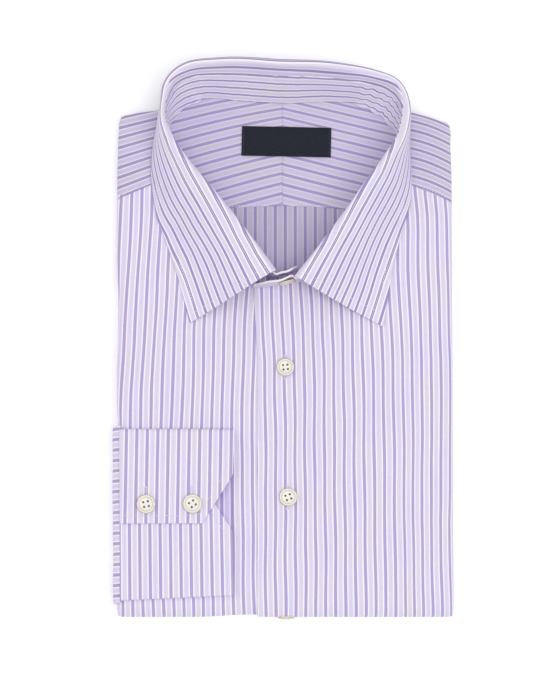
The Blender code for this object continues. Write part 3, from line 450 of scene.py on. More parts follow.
outerStripe = barStripe("barStripe", cloth["outside"])
# the inside stripe's dimmer whites are painted shade of the neck's inside
innerStripe = barStripe("barStripeInside", cloth["inside"])
stripedCotton = clothMaterial("stripedCotton", outerStripe)
collarCotton = clothMaterial("stripedCottonCollar", barStripe("barStripeCollar", cloth["collar"]))
standCotton = clothMaterial("stripedCottonStand", barStripe("barStripeStand", cloth["stand"]))
# copies of the cloth darkened by the shade tints above: painted shade from the collar and the layers over them
yokeCotton = clothMaterial("stripedCottonYoke", outerStripe, cloth["yokeShade"])
innerCotton = clothMaterial("stripedCottonInside", innerStripe, cloth["insideShade"])
backCotton = clothMaterial("stripedCottonBack", innerStripe, cloth["backShade"])
# the rim colour: the button edge's own brownish tone, used also as painted shade at the edge and in the groove
pearl = plainMaterial("pearlButton", (241, 236, 226), 0.12, 420.0, (196, 184, 158), 300.0, 0.00002,
                      Roughness=0.28, Coat_Weight=0.35)
# thread through the button holes: its own lilac, darkened as painted shade of the holes
holeThread = plainMaterial("buttonThread", (128, 112, 140), 0.2, 500.0, Roughness=0.8)
thread = plainMaterial("sewingThread", (233, 226, 245), 0.08, 500.0, Roughness=0.7, Sheen_Weight=0.15)
darkThread = plainMaterial("labelThread", (70, 74, 86), 0.1, 500.0, Roughness=0.6)
satin = newMaterial("labelSatin", satinPattern, 0.4, 0.00004, Roughness=0.5, Specular_IOR_Level=0.1)
print("materials made")


# Each crease lifts the cloth by a bell across its line, fading at its ends.
def creasesAt(x, y):
    total = np.zeros(np.broadcast(x, y).shape)
    for x0, y0, x1, y1, height, width in creases:
        length = math.hypot(x1 - x0, y1 - y0)
        dx, dy = (x1 - x0) / length, (y1 - y0) / length
        along = ((x - x0) * dx + (y - y0) * dy) / length
        across = (x - x0) * dy - (y - y0) * dx
        total = total + height * bell(across, width) * smooth(along * 3 + 0.5) * smooth((1 - along) * 3 + 0.5)
    return total


def flatTop(y):
    return body["stack"] - body["shoulderDrop"] * rise(y, *body["shoulderSlope"]) \
        - body["neckDrop"] * rise(y, *body["neckSlope"])


# The top of the fronts: level, falling to the shoulders and the neck, crowned to the sides, with its creases.
def topHeight(x, y):
    calm = rise(y, body["foldY"], 25)
    return flatTop(y) - body["crown"] * (x / body["sideX"]) ** 4 * calm + creasesAt(x, y) * calm


def lapDepth(x):
    return body["lapDepth"] * rise(x, *body["lapRamp"])


def lipHeight(y):
    return body["lipBody"] + (body["lipShoulder"] - body["lipBody"]) * rise(y, *body["shoulderSlope"])


def sideRadius(y):
    return (topHeight(body["sideX"], y) - creasesAt(body["sideX"], y) - lipHeight(y)) / 2


# The inner face of the back, seen in the neck: the top less the layers that lie on it, with a soft sag.
def innerHeight(x, y):
    sag = inner["sag"] * rise(y, 40, 50) * fade(np.abs(x), 65, 35) * fade(y, 155, 35)
    return flatTop(y) - body["crown"] * (x / body["sideX"]) ** 4 - inner["below"] - body["lapDepth"] - sag


# How far above the middle of the view a point is seen, scaled by its distance from the camera.
def seenY(points):
    fromAim = points + toFrame - view["aim"]
    up, away = math.cos(view["elevation"]), math.sin(view["elevation"])
    distance = view["distance"] * 1000
    return (fromAim[..., 1] * away + fromAim[..., 2] * up) * distance \
        / (distance + fromAim[..., 1] * up - fromAim[..., 2] * away)


neckLine = through(collarSections[:, :2], np.linspace(0, 1, 193))
neckLength = runOf(neckLine)[-1]
# By side, -1 is the right: the yoke's seam from the neck to the side, and a collar tab's foot (x, y) and top
seams = {-1: np.array([(-69.5, 113.9), (-110.5, 96.3)]), 1: np.array([(66.9, 112.4), (110.5, 93.9)])}
tabs = {-1: np.array([(8.6, 47.4, 7.8, 47.2, 34.0), (4.5, 45.4, 4.0, 45.0, 37.8), (-2.0, 43.8, -1.5, 42.9, 38.4)]),
        1: np.array([(4.9, 39.4, 4.4, 40.5, 38.2), (-1.0, 37.6, -1.0, 38.2, 39.8), (-10.5, 36.2, -10.8, 36.5, 39.0),
                     (-21.6, 35.5, -21.2, 35.8, 31.0)])}


def between(first, last, t):
    return first * (1 - t) + last * t


# The value at a place along the last axis of a table, and a little past both its ends.
def entryAt(entries, place):
    i = np.clip(place.astype(int), 0, entries.shape[-1] - 2)[..., None]
    low, high = np.take_along_axis(entries, i, -1), np.take_along_axis(entries, i + 1, -1)
    return low[..., 0] + (high - low)[..., 0] * np.clip(place - i[..., 0], -2, 2)


# The direction into the neck at each point of a plan line, square to the line.
def inwardOf(line):
    along = np.gradient(line, axis=0)
    return np.stack([along[:, 1], -along[:, 0]], axis=1) / np.linalg.norm(along, axis=1)[:, None]


# A front's upper edge: under the collar's foot and tab, and a little under the yoke.
def frontTop(side):
    half = len(neckLine) // 2
    line = np.concatenate([neckLine[half:] if side > 0 else neckLine[:half], tabs[side][:, :2] + (0, 0.6)])
    line = np.concatenate([line[line[:, 1] < seams[side][0, 1] - 1], seams[side] + (0, 0.9)])
    return line[np.argsort(line[:, 0], kind="stable")]


collar = {
    "seamShare": 0.76, "rollR": 2.4, "footLift": 0.8, "stand": 1.3, "leaf": 1.25, "puckers": 0.22,
    "topstitch": 5.0, "groove": 0.3, "frontSteep": math.radians(25), "barPitch": 6.4,
    # where the neck seam gapes: x, y, how far the stand's foot stands off and over what length
    "gapes": ((-60.5, 160.5, 2.1, 5.5), (-73.5, 150.5, 1.9, 5.5), (50.0, 158.8, 1.8, 5.0), (59.5, 154.6, 2.0, 5.0),
              (69.5, 145.5, 2.0, 5.0)),
    # bars on the inner side, by the share of the way round the neck: bar number at 0, 1/4, 1/2, 3/4 and all of
    # the seen way from the crest down to the neck seam
    "insideBars": np.array([
        (0.26, 0.6, -0.2, -1.0, -1.8, -2.6), (0.28, 1.3, 0.4, -0.5, -1.3, -2.2), (0.30, 2.7, 1.4, 0.27, -0.9, -2.0),
        (0.32, 4.2, 2.78, 1.3, 0.05, -1.2), (0.34, 5.1, 3.59, 2.03, 0.78, -0.55), (0.36, 5.4, 3.91, 2.45, 1.12, -0.1),
        (0.38, 5.75, 4.16, 2.69, 1.38, -0.03), (0.40, 5.78, 4.32, 2.84, 1.46, 0.05),
        (0.44, 5.82, 4.46, 2.99, 1.51, 0.0),
        (0.50, 5.82, 4.53, 3.09, 1.6, -0.03), (0.54, 5.82, 4.61, 3.16, 1.59, 0.08), (0.57, 5.82, 4.72, 3.2, 1.54, 0.06),
        (0.60, 5.8, 4.56, 3.08, 1.52, 0.0), (0.62, 5.7, 4.28, 2.9, 1.52, -0.15), (0.64, 5.6, 4.13, 2.83, 1.4, -0.4),
        (0.66, 5.3, 4.1, 2.55, 1.02, -0.38), (0.68, 4.95, 3.68, 2.1, 0.75, -0.45), (0.70, 4.2, 2.95, 1.72, 0.6, -0.55),
        (0.72, 1.4, 0.7, 0.0, -0.6, -1.2), (0.74, 0.3, -0.2, -0.7, -1.2, -1.7)]),
    # bars across the leaf, by the share of the way round the neck: bar number at 0, 1/4, 1/2, 3/4 and all of
    # the way from the free edge to the crest
    "bars": np.array([
        (0.0, 0.02, 2.54, 5.32, 8.15, 10.35), (0.034, 0.11, 2.51, 5.19, 7.94, 10.26),
        (0.070, 0.18, 2.45, 4.97, 7.71, 9.95), (0.104, 0.42, 2.36, 4.95, 7.5, 9.44),
        (0.139, 0.6, 2.44, 5.0, 7.25, 9.05), (0.174, 0.7, 2.55, 4.92, 6.98, 8.64),
        (0.208, 0.9, 2.75, 4.8, 6.66, 8.2), (0.234, 1.2, 3.1, 4.86, 6.45, 7.8),
        (0.260, 1.7, 3.4, 4.95, 6.4, 7.4), (0.5, 1.9, 3.3, 4.7, 6.1, 7.2), (0.735, 1.7, 3.4, 4.95, 6.5, 7.5),
        (0.760, 1.5, 3.5, 5.3, 6.85, 8.0), (0.795, 1.2, 3.4, 5.4, 7.2, 8.64), (0.830, 0.9, 3.1, 5.24, 7.32, 8.87),
        (0.865, 0.72, 2.76, 5.08, 7.44, 9.13), (0.899, 0.6, 2.49, 5.05, 7.60, 9.45),
        (0.934, 0.4, 2.4, 5.15, 7.70, 9.91), (0.969, -0.1, 2.3, 5.15, 7.85, 10.19),
        (1.0, -0.5, 2.09, 5.05, 8.0, 10.43)]),
}


fronts = {
    # Where the first and the last counted dark bar run down each front: y, x of the first, x of the last.
    "rightBars": np.array([(-178.9, -106.7, -27.0), (-118.8, -108.3, -28.25), (-66, -108.7, -29.0),
                           (-33, -108.2, -28.0), (6.6, -106.5, -27.0), (46.2, -104.2, -25.0), (82.5, -101.97, -22.3),
                           (104, -101.1, -22.3)]),
    "rightCount": 12,
    "leftBars": np.array([(-178.9, -13.4, 109.2), (-118.8, -13.4, 107.8), (-66, -13.9, 108.4), (-13.2, -13.8, 108.2),
                          (26.4, -16.0, 107.3), (46.2, -17.0, 106.5), (82.5, -18.0, 106.0), (104, -18.0, 104.2)]),
    "leftCount": 19,
    # the left front's bars stray from an even spacing: y, then how far at the bar numbers in strayBars
    "strayBars": (0, 4, 8, 12, 14, 16, 19),
    "stray": np.array([(-171.6, 0.66, 0.73, 1.1, 1.65, 2.5, 1.1, 0), (-118.8, 0.13, 1.45, 1.4, 2.4, 2.4, 0.73, -0.26),
                       (-52.8, 0.86, 0.4, 1.25, 1.25, 1.3, 0.73, 0.46), (-13.2, 0.07, 0.33, 0.07, 0.46, 1.2, 1.25, 1.1),
                       (26.4, 0, 0.86, 0.66, 0.66, 0.73, 0.8, 0.6), (72.6, 0, 0, 0, 0, 0.8, 1.05, 0.66),
                       (95, 0, 0, 0, 0, 0.3, 0.3, 0.2)]),
    "foldRadius": 0.8,    # the placket's folded edge
    "cornerShare": 0.35,    # how round the hem corners are
    # how far the right side swells out: y, distance
    "swell": np.array([(-56, 0), (-45, 0.8), (-20, 1.1), (0, 0.3), (20, 0), (35, 0.3), (55, 1.5), (92, 1.4),
                       (110, 1.2)]),
    "acrossStep": 1.5, "downStep": 2.2, "length": 270.0, "turnSteps": 17, "underSteps": 60,
    "placket": 32.0, "placketDepth": 0.5,    # its width, and how much thicker the folded cloth is
}


# One front at a depth inside its outer face. Down the front, round the hem fold on a half circle and up the
# underside; the side edge turns on an arc whose radius shrinks towards the tail.
def frontGrid(side, depth, outer=True):
    top = frontTop(side)
    edgeX = body["lapEdgeX"] if side > 0 else body["underlapX"]
    width = abs(body["flatX"] * side - edgeX)
    share = steps(width, fronts["acrossStep"], end=False)[None, :] / width
    flats = share.shape[1]
    down = steps(fronts["length"], fronts["downStep"], end=False) / fronts["length"]
    turn = np.linspace(0, math.pi, fronts["turnSteps"])[1:-1]
    under = np.linspace(0, 1, fronts["underSteps"])
    t, angle, back = (np.concatenate(parts)[:, None] for parts in (
        (down, turn * 0 + 1, under * 0 + 1), (down * 0, turn, under * 0 + math.pi), (down * 0, turn * 0, under)))
    tail = angle / math.pi

    def yOf(x):
        end = back * (body["tailEndY"] - body["tailCurve"] * (x / body["sideX"]) ** 2 - body["foldY"])
        return between(np.interp(x, *top.T), body["foldY"], t) + end

    radius = between(sideRadius(yOf(np.full((1, 1), body["flatX"] * side))), body["tailR"], tail)
    centre = between(body["sideX"], body["tailSideX"], tail) - radius
    a = np.linspace(0, 1, fronts["turnSteps"])[None, 1:] * between(body["sideWrap"], body["tailWrap"], tail)
    xFlat = edgeX + (side * centre - edgeX) * share
    y = yOf(np.concatenate([xFlat, side * (centre + radius * np.sin(a))], axis=1))
    xHeight = np.concatenate([xFlat, side * body["sideX"] + 0 * a], axis=1)
    z = np.where(angle == 0, topHeight(xHeight, y), foldR * (1 + np.cos(angle)))
    fromEdge = np.abs(xFlat - edgeX)
    lean = body["lapLean"] * rise(y[:, :flats], -20, 55) * fade(fromEdge, 8, 8) if side > 0 else 0.0
    if side < 0:
        drop = depth + lapDepth(xFlat)
    elif outer:
        drop = depth + fronts["foldRadius"] * (1 - rounded(fromEdge, fronts["foldRadius"], 0.0))
    else:
        drop = depth + fronts["placketDepth"] * fade(fromEdge, fronts["placket"], 2)
    away = np.concatenate([drop, radius - (radius - depth) * np.cos(a)], axis=1)
    inward = np.concatenate([drop, radius * (1 - np.cos(a)) * fronts["cornerShare"] + depth * np.cos(a)], axis=1)
    swell = np.interp(y[:, flats:], *fronts["swell"].T) * smooth(a / 1.4) if side < 0 else 0.0
    x = np.concatenate([xFlat - lean, side * (centre + swell + (radius - depth) * np.sin(a))], axis=1)
    points = np.stack([x, y + np.sin(angle) * (inward - foldR), z - np.cos(angle) * away], axis=2)
    return points, np.concatenate([xFlat - lean, side * (centre + radius * a)], axis=1)


def frontUv(side, points, run):
    bars, count = (fronts["leftBars"], fronts["leftCount"]) if side > 0 else (fronts["rightBars"], fronts["rightCount"])
    y = np.where(points[..., 2] < 12, body["foldY"], seenY(points))
    first, last = np.moveaxis(columnsAt(y, bars[:, 0], bars[:, 1:]), 2, 0)
    u = (run - first) / (last - first) * count
    if side > 0:
        table, at = fronts["stray"], fronts["strayBars"]
        stray = entryAt(columnsAt(y, table[:, 0], table[:, 1:]), np.interp(u, at, np.arange(len(at))))
        u = u - stray / (last - first) * count
    v = lengthsAlong(points, 0)[:, points.shape[1] // 2][:, None] / repeat + 0 * u
    sway = 0.045 * np.sin(v / 4.3 + 2 * np.sin(run / 21)) + 0.03 * np.sin(v / 1.7 + run / 9)
    return np.stack([u + sway, v], axis=2)


def makeFront(side, name, node):
    face, run = frontGrid(side, 0.0)
    back, _ = frontGrid(side, body["cloth"], False)
    return dress(shell(name, face, back, frontUv(side, face, run), stripedCotton), node)


frontRight = makeFront(-1, "frontRight", "front_right")
frontLeft = makeFront(1, "frontLeft", "front_left")
print("fronts made")


yoke = {
    "lap": 1.1, "raise": 0.62, "cloth": 0.6, "edge": 0.5, "edgeDepth": 0.45, "step": 1.6,
    "fanSteps": 50, "turnSteps": 18,
    # the shoulder fold (x, y) and how far out the cloth turns there (x, y)
    "rightShoulder": np.array([
        (-104.5, 97.0, -111.9, 97.0), (-104.8, 122.0, -111.6, 122.0), (-105.2, 140.0, -111.0, 141.0),
        (-105.4, 145.0, -110.4, 148.4), (-105.0, 146.6, -109.4, 150.8), (-101.0, 147.9, -103.0, 152.7),
        (-82.0, 150.9, -83.0, 156.2), (-60.0, 160.5, -61.5, 165.6), (-45.0, 164.3, -45.5, 169.3),
        (-30.0, 163.6, -30.0, 169.0), (-2.0, 162.2, -2.0, 167.6)]),
    "leftShoulder": np.array([
        (104.5, 93.7, 110.5, 93.7), (104.6, 116.0, 110.3, 116.0), (104.4, 131.0, 109.8, 132.5),
        (104.4, 138.8, 109.7, 143.2), (104.0, 141.1, 108.8, 146.0), (99.0, 143.9, 102.0, 148.8),
        (80.0, 149.4, 82.5, 154.6), (63.0, 156.0, 65.0, 161.0), (45.0, 162.0, 46.0, 167.4),
        (30.0, 162.8, 30.0, 168.2), (-2.0, 162.2, -2.0, 167.6)]),
    # the first bar, and the pitch of the bars by the distance from a place in X: value there, then slopes
    "rightFirst": (-105.93, 147.5, 0.224, 0.0), "rightPitch": (-105.93, 6.45, -0.0216, 0.0),
    "leftFirst": (87.45, 143.7, -0.24, -0.0065), "leftPitch": (87.45, 6.052, 0.0065, 0.0),
    "foldStretch": 1.22,    # the left one's last bar runs along the fold of the shoulder
}


# Sections fan from the neck curve to the shoulder fold, then turn down it on an arc.
def outerYokeGrid(side, depth):
    (seamX, seamY), (endX, endY) = seams[side]
    table = yoke["rightShoulder"] if side < 0 else yoke["leftShoulder"]
    length = runOf(table[:, :2])[-1]
    shares = steps(length, yoke["step"]) / length
    shoulder = through(table, shares)
    neck = neckLine - 1.3 * inwardOf(neckLine)
    neck = neck[: len(neck) // 2 + 1] if side < 0 else neck[len(neck) // 2:][::-1]
    neck = neck[(neck[:, 1] > seamY + 1) & ((neck[:, 0] - body["centreX"]) * side > 1)]
    neck = through(np.concatenate([neck, [[body["centreX"], neck[-1, 1]]]]), shares)

    # the first section lies on the seam, lapped over the front
    def onSeam(x):
        return seamY + (endY - seamY) / (endX - seamX) * (x - seamX) - yoke["lap"]
    pull = fade(shares * length, 9, 9)
    for points, i in ((neck, 0), (shoulder, 0), (shoulder, 2)):
        points[:, i + 1] += (onSeam(points[0, i]) - points[0, i + 1]) * pull
        points[-1, i] = body["centreX"] + side * 0.15
    across = np.linspace(0, 1, yoke["fanSteps"])[None, :]
    x, y = (between(neck[:, k:k + 1], shoulder[:, k:k + 1], across) for k in range(2))
    fromSeam = y - onSeam(x)
    lift = yoke["raise"] * fade(fromSeam, 4.1, 3.5)
    edge = yoke["edgeDepth"] * (1 - rounded(fromSeam, yoke["edge"], 0.0)) if depth == 0 else 0.0
    flat = np.stack([x, y, topHeight(x, y) - depth + lift - edge], axis=2)
    sx, sy, ex, ey = (shoulder[:, k:k + 1] for k in range(4))
    radius = sideRadius(sy)
    a = np.linspace(0, body["sideWrap"], yoke["turnSteps"])[None, 1:]
    reach = (1 - depth / radius) * np.sin(a)
    level = topHeight(sx, sy) - radius + (radius - depth) * np.cos(a) + lift[:, -1:] * np.cos(a / 2)
    return np.concatenate([flat, np.stack([sx + (ex - sx) * reach, sy + (ey - sy) * reach, level], axis=2)], axis=1)


# Bars along the shoulder, numbered up from the first one. Past the shoulder fold they run straight on.
def outerYokeUv(side, points):
    way = "right" if side < 0 else "left"
    first, pitch = (start + slope * (points[..., 0] - x) + bend * (points[..., 0] - x) ** 2
                    for x, start, slope, bend in (yoke[way + "First"], yoke[way + "Pitch"]))
    u = (first - seenY(points)) / pitch
    if side > 0:
        u = np.where(u < 0, u * yoke["foldStretch"], u) + 1
    edge, turned = yoke["fanSteps"] - 1, yoke["fanSteps"] + 8
    length = lengthsAlong(points, 1)
    rate = (u[:, edge] - u[:, edge - 3]) / (length[:, edge] - length[:, edge - 3])
    u[:, turned:] = u[:, turned:turned + 1] + rate[:, None] * (length[:, turned:] - length[:, turned:turned + 1])
    return np.stack([u, length / repeat], axis=2)


def makeOuterYoke(side, name, node):
    face, back = outerYokeGrid(side, 0.0), outerYokeGrid(side, yoke["cloth"])
    return dress(shell(name, face, back, outerYokeUv(side, face), yokeCotton), node), face


yokeRight, yokeRightFace = makeOuterYoke(-1, "outerYokeRight", "outer_yoke_right")
yokeLeft, yokeLeftFace = makeOuterYoke(1, "outerYokeLeft", "outer_yoke_left")
print("outer yoke made")


inner = {
    "seamY": 91.6, "seamFall": 3.6, "raise": 0.55, "lap": 1.0, "cloth": 0.6, "barCentreX": -1.65,
    "below": 2.1, "sag": 0.9, "sideX": 66.0, "lowY": 20.0, "backPitch": 6.63,
    "bars": {-1: (21.404, -10.719, -2.154, -1.204, -1.522, 0.919, -0.33, 0.101),
             1: (20.518, -9.624, -2.5, -1.109, -1.23, 0.446, 0.196, -0.152)},
}


def backSeam(x):
    return inner["seamY"] - inner["seamFall"] * (np.abs(x - body["centreX"]) / 60) ** 1.5


def makeBack():
    x = np.linspace(-inner["sideX"], inner["sideX"], 90)[:, None]
    y = between(inner["lowY"], backSeam(x) + 0.8, np.linspace(0, 1, 60)[None, :])
    face = np.stack([x + 0 * y, y, innerHeight(x, y)], axis=2)
    uv = np.stack([(face[..., 0] + 0.13) / inner["backPitch"], face[..., 1] / repeat], axis=2)
    return dress(shell("backPanel", face, face - (0, 0, inner["cloth"]), uv, backCotton), "back_panel")


# From the seam with the back to the collar's foot, where it rises to meet the stand, raised over the seam
# allowance and pinched along the centre seam.
def innerYokeGrid(side):
    neck = neckLine + 0.2 * inwardOf(neckLine)
    neck = neck[(neck[:, 1] > 137.0) & (neck[:, 0] * side > -10)]
    neck = neck[np.argsort(neck[:, 0])]
    centre = body["centreX"] + side * 0.02
    width = abs((np.abs(neck[:, 0]).max() - 0.2) * side - centre)
    x = centre + side * steps(width, 1.4)[:, None]
    t = steps(70, 1.2, end=False)[None, :] / 70
    start, end = backSeam(x) - inner["lap"], np.interp(x, *neck.T)
    y = between(start, end, t)
    foot = (topHeight(x, end) + collar["footLift"] - 0.25 - innerHeight(x, end)) * rise(t, 0.8, 0.2)
    lift = inner["raise"] * fade(y - start, 4.5, 4) - 0.4 * (1 - rounded(y - start, 0.5, 0.0))
    seam = 0.28 * bell(np.abs(x - body["centreX"]) - 1.0, 0.7) - 0.3 * bell(x - body["centreX"], 0.35)
    return np.stack([x + 0 * t, y, innerHeight(x, y) + foot + lift + seam], axis=2)


# Bar numbers as a polynomial of the distance x from the centre seam (in 50 mm) and the seen height y (in
# 100 mm): 1, y, y^2, x, xy, xy^2, x^2 and x^2 y.
def innerYokeUv(side, points):
    y = seenY(points) / 100
    x = np.abs(points[..., 0] - inner["barCentreX"]) / 50
    terms = (1, y, y**2, x, x * y, x * y**2, x**2, x**2 * y)
    u = sum(factor * term for factor, term in zip(inner["bars"][side], terms))
    return np.stack([u, points[..., 0] / repeat], axis=2)


def makeInnerYoke(side, name, node):
    face = innerYokeGrid(side)
    return dress(shell(name, face, face - (0, 0, inner["cloth"]), innerYokeUv(side, face), innerCotton), node), face


backPanel = makeBack()
innerYokeRight, innerRightFace = makeInnerYoke(-1, "innerYokeRight", "inner_yoke_right")
innerYokeLeft, innerLeftFace = makeInnerYoke(1, "innerYokeLeft", "inner_yoke_left")
print("back and inner yoke made")


label = {"centre": (0.6, 134.0), "size": (59.5, 20.0), "turn": math.radians(-1.2), "thick": 0.45, "lift": 0.97,
         "ripple": 0.16, "endLift": 0.55}


# A strip laid on the inner yoke, sewn down at both ends and a little proud and rippled between.
def onLabel(u, v):
    c, s = math.cos(label["turn"]), math.sin(label["turn"])
    x, y = label["centre"][0] + u * c - v * s, label["centre"][1] + u * s + v * c
    width, height = label["size"]
    proud = label["lift"] - label["endLift"] + label["ripple"] * np.sin(u / 5 + 1.2) * (v / height + 0.5)
    return np.stack([x, y, innerHeight(x, y) + label["endLift"] + proud * fade(np.abs(u), width / 2, 5)], axis=-1)


def makeLabel():
    width, height = label["size"]
    u = steps(width, 1.0)[:, None] - width / 2 + 0 * steps(height, 1.0)
    v = steps(height, 1.0) - height / 2 + 0 * u
    thick = label["thick"] * rounded(np.minimum(width / 2 - np.abs(u), height / 2 - np.abs(v)), 0.25)
    made = sheetRound("neckLabel", onLabel(u, v), thick, np.stack([u, v], axis=2) / repeat, satin)
    v = np.linspace(-height / 2 + 0.7, height / 2 - 0.7, 30)
    beads = [stitchLine(onLabel(0 * v + end * (width / 2 - 1.2), v) + (0, 0, label["thick"] / 2),
                        pitch=1.5, share=0.75, width=0.34, height=0.24) for end in (-1, 1)]
    return dress(made, "neck_label", slot="label_satin"), sewn("labelStitches", beads, darkThread, "label_satin")


neckLabel, labelStitches = makeLabel()
print("label made")


# Lines round the neck, at shares of its length: the stand's foot, the roll's crest, the leaf's free edge, the
# level way from crest to edge, the inner side of the roll, the seam of stand and leaf, and the leaf's start.
def collarLines(shares):
    bx, by, fx, fy, fz, ex, ey, drop = through(collarSections, shares).T
    lap = np.where((bx < 0) & (by < 108), lapDepth(bx), 0.0)
    feet = np.stack([bx, by, topHeight(bx, by) + collar["footLift"] - lap], axis=1)
    crests = np.stack([fx, fy, fz], axis=1)
    edges = np.stack([ex, ey, topHeight(ex, ey) + 0.35 + collar["leaf"] / 2 - drop], axis=1)
    out = (edges - crests) * (1, 1, 0)
    out /= np.linalg.norm(out, axis=1)[:, None]
    rollIn = crests - collar["rollR"] * (out + (0, 0, 1))
    reach = rollIn - feet
    seam = feet + reach * collar["seamShare"]
    starts = seam + reach / np.linalg.norm(reach, axis=1)[:, None] * 0.15
    return feet, crests, edges, out, rollIn, seam, starts


# How far along the way from one line to another each point of a grid is seen.
def seenShare(points, starts, ends):
    start, end = (np.stack([line[:, 0], seenY(line)], axis=1)[:, None] for line in (starts, ends))
    seen = np.stack([points[..., 0], seenY(points)], axis=2)
    return ((seen - start) * (end - start)).sum(axis=2) / np.maximum(((end - start) ** 2).sum(axis=2), 0.01)


# The bars inside the collar follow the seen share between crest and foot, or the cloth's own length where
# the crest hides the foot.
def insideBars(points, around, crests, feet, byLength, flip=False):
    table = collar["insideBars"]
    number = entryAt(columnsAt(around, table[:, 0], table[:, 1:])[:, None], seenShare(points, crests, feet) * 4)
    weight = (rise(around, 0.268, 0.02) * fade(around, 0.742, 0.02))[:, None]
    return between(byLength, 8 - number if flip else number, weight)


# The stand's middle: straight lines from its foot to its seam with the leaf, round the neck and on along both
# tabs, with its foot standing off where the neck seam gapes and short puckers beside the upper seam.
def standGrid():
    around = np.linspace(0, 1, 97)
    feet, crests, _, _, _, seam, _ = collarLines(around)
    rows = {0: np.column_stack([feet, seam, crests, around])}
    for side, tab in tabs.items():
        footZ = topHeight(tab[:, 0], tab[:, 1]) + collar["footLift"] - (body["lapDepth"] if side < 0 else 0)
        rows[side] = np.column_stack([tab[:, :2], footZ, tab[:, 2:], tab[:, 2:], 0 * footZ])
    knots = np.concatenate([rows[-1], rows[0], rows[1]])
    length = runOf(knots[:, :2])[-1]
    run = steps(length, 0.9)
    line = through(knots, run / length)
    height = np.linalg.norm(line[:, 3:6] - line[:, :3], axis=1).mean()
    up = steps(height, 1.0)
    share = up[None, :, None] / height
    grid = between(line[:, None, :3], line[:, None, 3:6], share)
    low = 1 - share[..., 0]
    gape = sum(off * bell(np.hypot(line[:, 0] - x, line[:, 1] - y), reach) for x, y, off, reach in collar["gapes"])
    gape = gape * (0.8 + 0.2 * np.sin(run / 1.6))
    grid[..., :2] += inwardOf(line[:, :2])[:, None] * (gape[:, None] * low ** 1.6)[..., None]
    grid[..., 2] += 0.8 * gape[:, None] * low ** 3
    waves = np.sin(run / 1.9 + 1.2 * np.sin(run / 13))[:, None] * rise(share[..., 0], 0.55, 0.4)
    return grid + normalsOf(grid) * (collar["puckers"] * waves)[..., None], run, up, line, gape


def makeStand():
    grid, run, up, line, gape = standGrid()
    ends = np.minimum(run, run[-1] - run)[:, None]
    thick = collar["stand"] * rounded(np.minimum(ends, np.minimum(up, up[-1] - up)), 0.7)
    # the folded upper edges of both tabs show the white beside a bar
    length = lengthsAlong(grid, 1)
    onTab = 2.78 + (length - length[:, -1:]) / collar["barPitch"]
    byLength = between(length / collar["barPitch"] - 3, onTab, fade(line[:, 1:2], 48.5, 3))
    u = insideBars(grid, line[:, 9], line[:, 6:9], line[:, :3], byLength)
    # bars waver, most at the left shoulder, and where the foot gapes it shows a white edge
    white = rise(gape[:, None], 0.24, 1.2) * fade(up, 1.6, 0.4)
    corner = rise(grid[..., 0], 42, 12) * rise(grid[..., 1], 135, 8)
    ripple = 0.1 * np.sin(run / 0.95 + 1.2 * np.sin(run / 7)) + 0.06 * np.sin(run / 2.1 + 0.8)
    wave = (0.15 + 0.85 * corner) * ripple[:, None] * rise(u, -0.7, 0.6) * fade(u, 5.2, 2)
    uv = np.stack([between(u + wave, -0.22, white), run[:, None] / repeat + 0 * u], axis=2)
    return dress(sheetRound("collarStand", grid, thick, uv, standCotton), "collar_stand"), grid


# The leaf's section: up from its seam, over the roll on an arc and down an S curve (a cubic Bezier in the
# upright plane of the section), which is steepest in its middle and nearly flat at the free edge.
def leafGrid():
    stitchAt = collar["topstitch"]
    around = steps(neckLength, 2.0, near=(stitchAt, neckLength - stitchAt)) / neckLength
    _, crests, edges, out, rollIn, _, starts = collarLines(around)
    up, r = np.array([0, 0, 1.0]), collar["rollR"]
    pitch = np.arctan2(crests[:, 2] - edges[:, 2], np.linalg.norm((edges - crests)[:, :2], axis=1))
    ease = fade(pitch, math.radians(68), math.radians(30))
    leave = pitch - ease * math.radians(12) + collar["frontSteep"] * rise(around, 0.97, 0.03)
    land = pitch - ease * math.radians(17)

    def downAt(angle):
        return out * np.cos(angle)[:, None] - up * np.sin(angle)[:, None]
    riser = between(starts[:, None], rollIn[:, None], np.linspace(0, 1, 8)[None, :-1, None])
    a = (np.linspace(0, 1, 18)[None, :] * (math.pi / 2 + leave)[:, None])[..., None]
    arc = (crests - r * up)[:, None] + r * (up * np.sin(a) - out[:, None] * np.cos(a))
    first = arc[:, -1]
    arm = 0.4 * np.linalg.norm(edges - first, axis=1)[:, None]
    second, third = first + arm * downAt(leave), edges - arm * downAt(land)
    s = np.linspace(0, 1, 120)[None, 1:, None]
    fall = (1 - s)**3 * first[:, None] + 3 * s * (1 - s)**2 * second[:, None] \
        + 3 * s**2 * (1 - s) * third[:, None] + s**3 * edges[:, None]
    dense = np.concatenate([riser, arc, fall], axis=1)
    # The same number of points on every section, measured from the free edge. The stitched border keeps its
    # distances, and the rest is stretched.
    lengths = lengthsAlong(dense, 1)
    total, crestAt = lengths[:, -1], lengths[:, 7] + r * math.pi / 2
    marks, keep = steps(40.0, 1.1, near=(stitchAt,), end=False), stitchAt + 2
    grid = []
    for section, run, crest in zip(dense, lengths, crestAt):
        spread = ((run[-1] - crest) * 0.85 - keep) / (marks[-1] - keep)
        low = np.where(marks < keep, marks, keep + (marks - keep) * spread)
        places = np.append(low, low[-1] + (run[-1] - low[-1]) * np.linspace(0, 1, 44)[1:])
        grid.append(columnsAt(run[-1] - places, run, section))
    return np.array(grid), around, total - crestAt


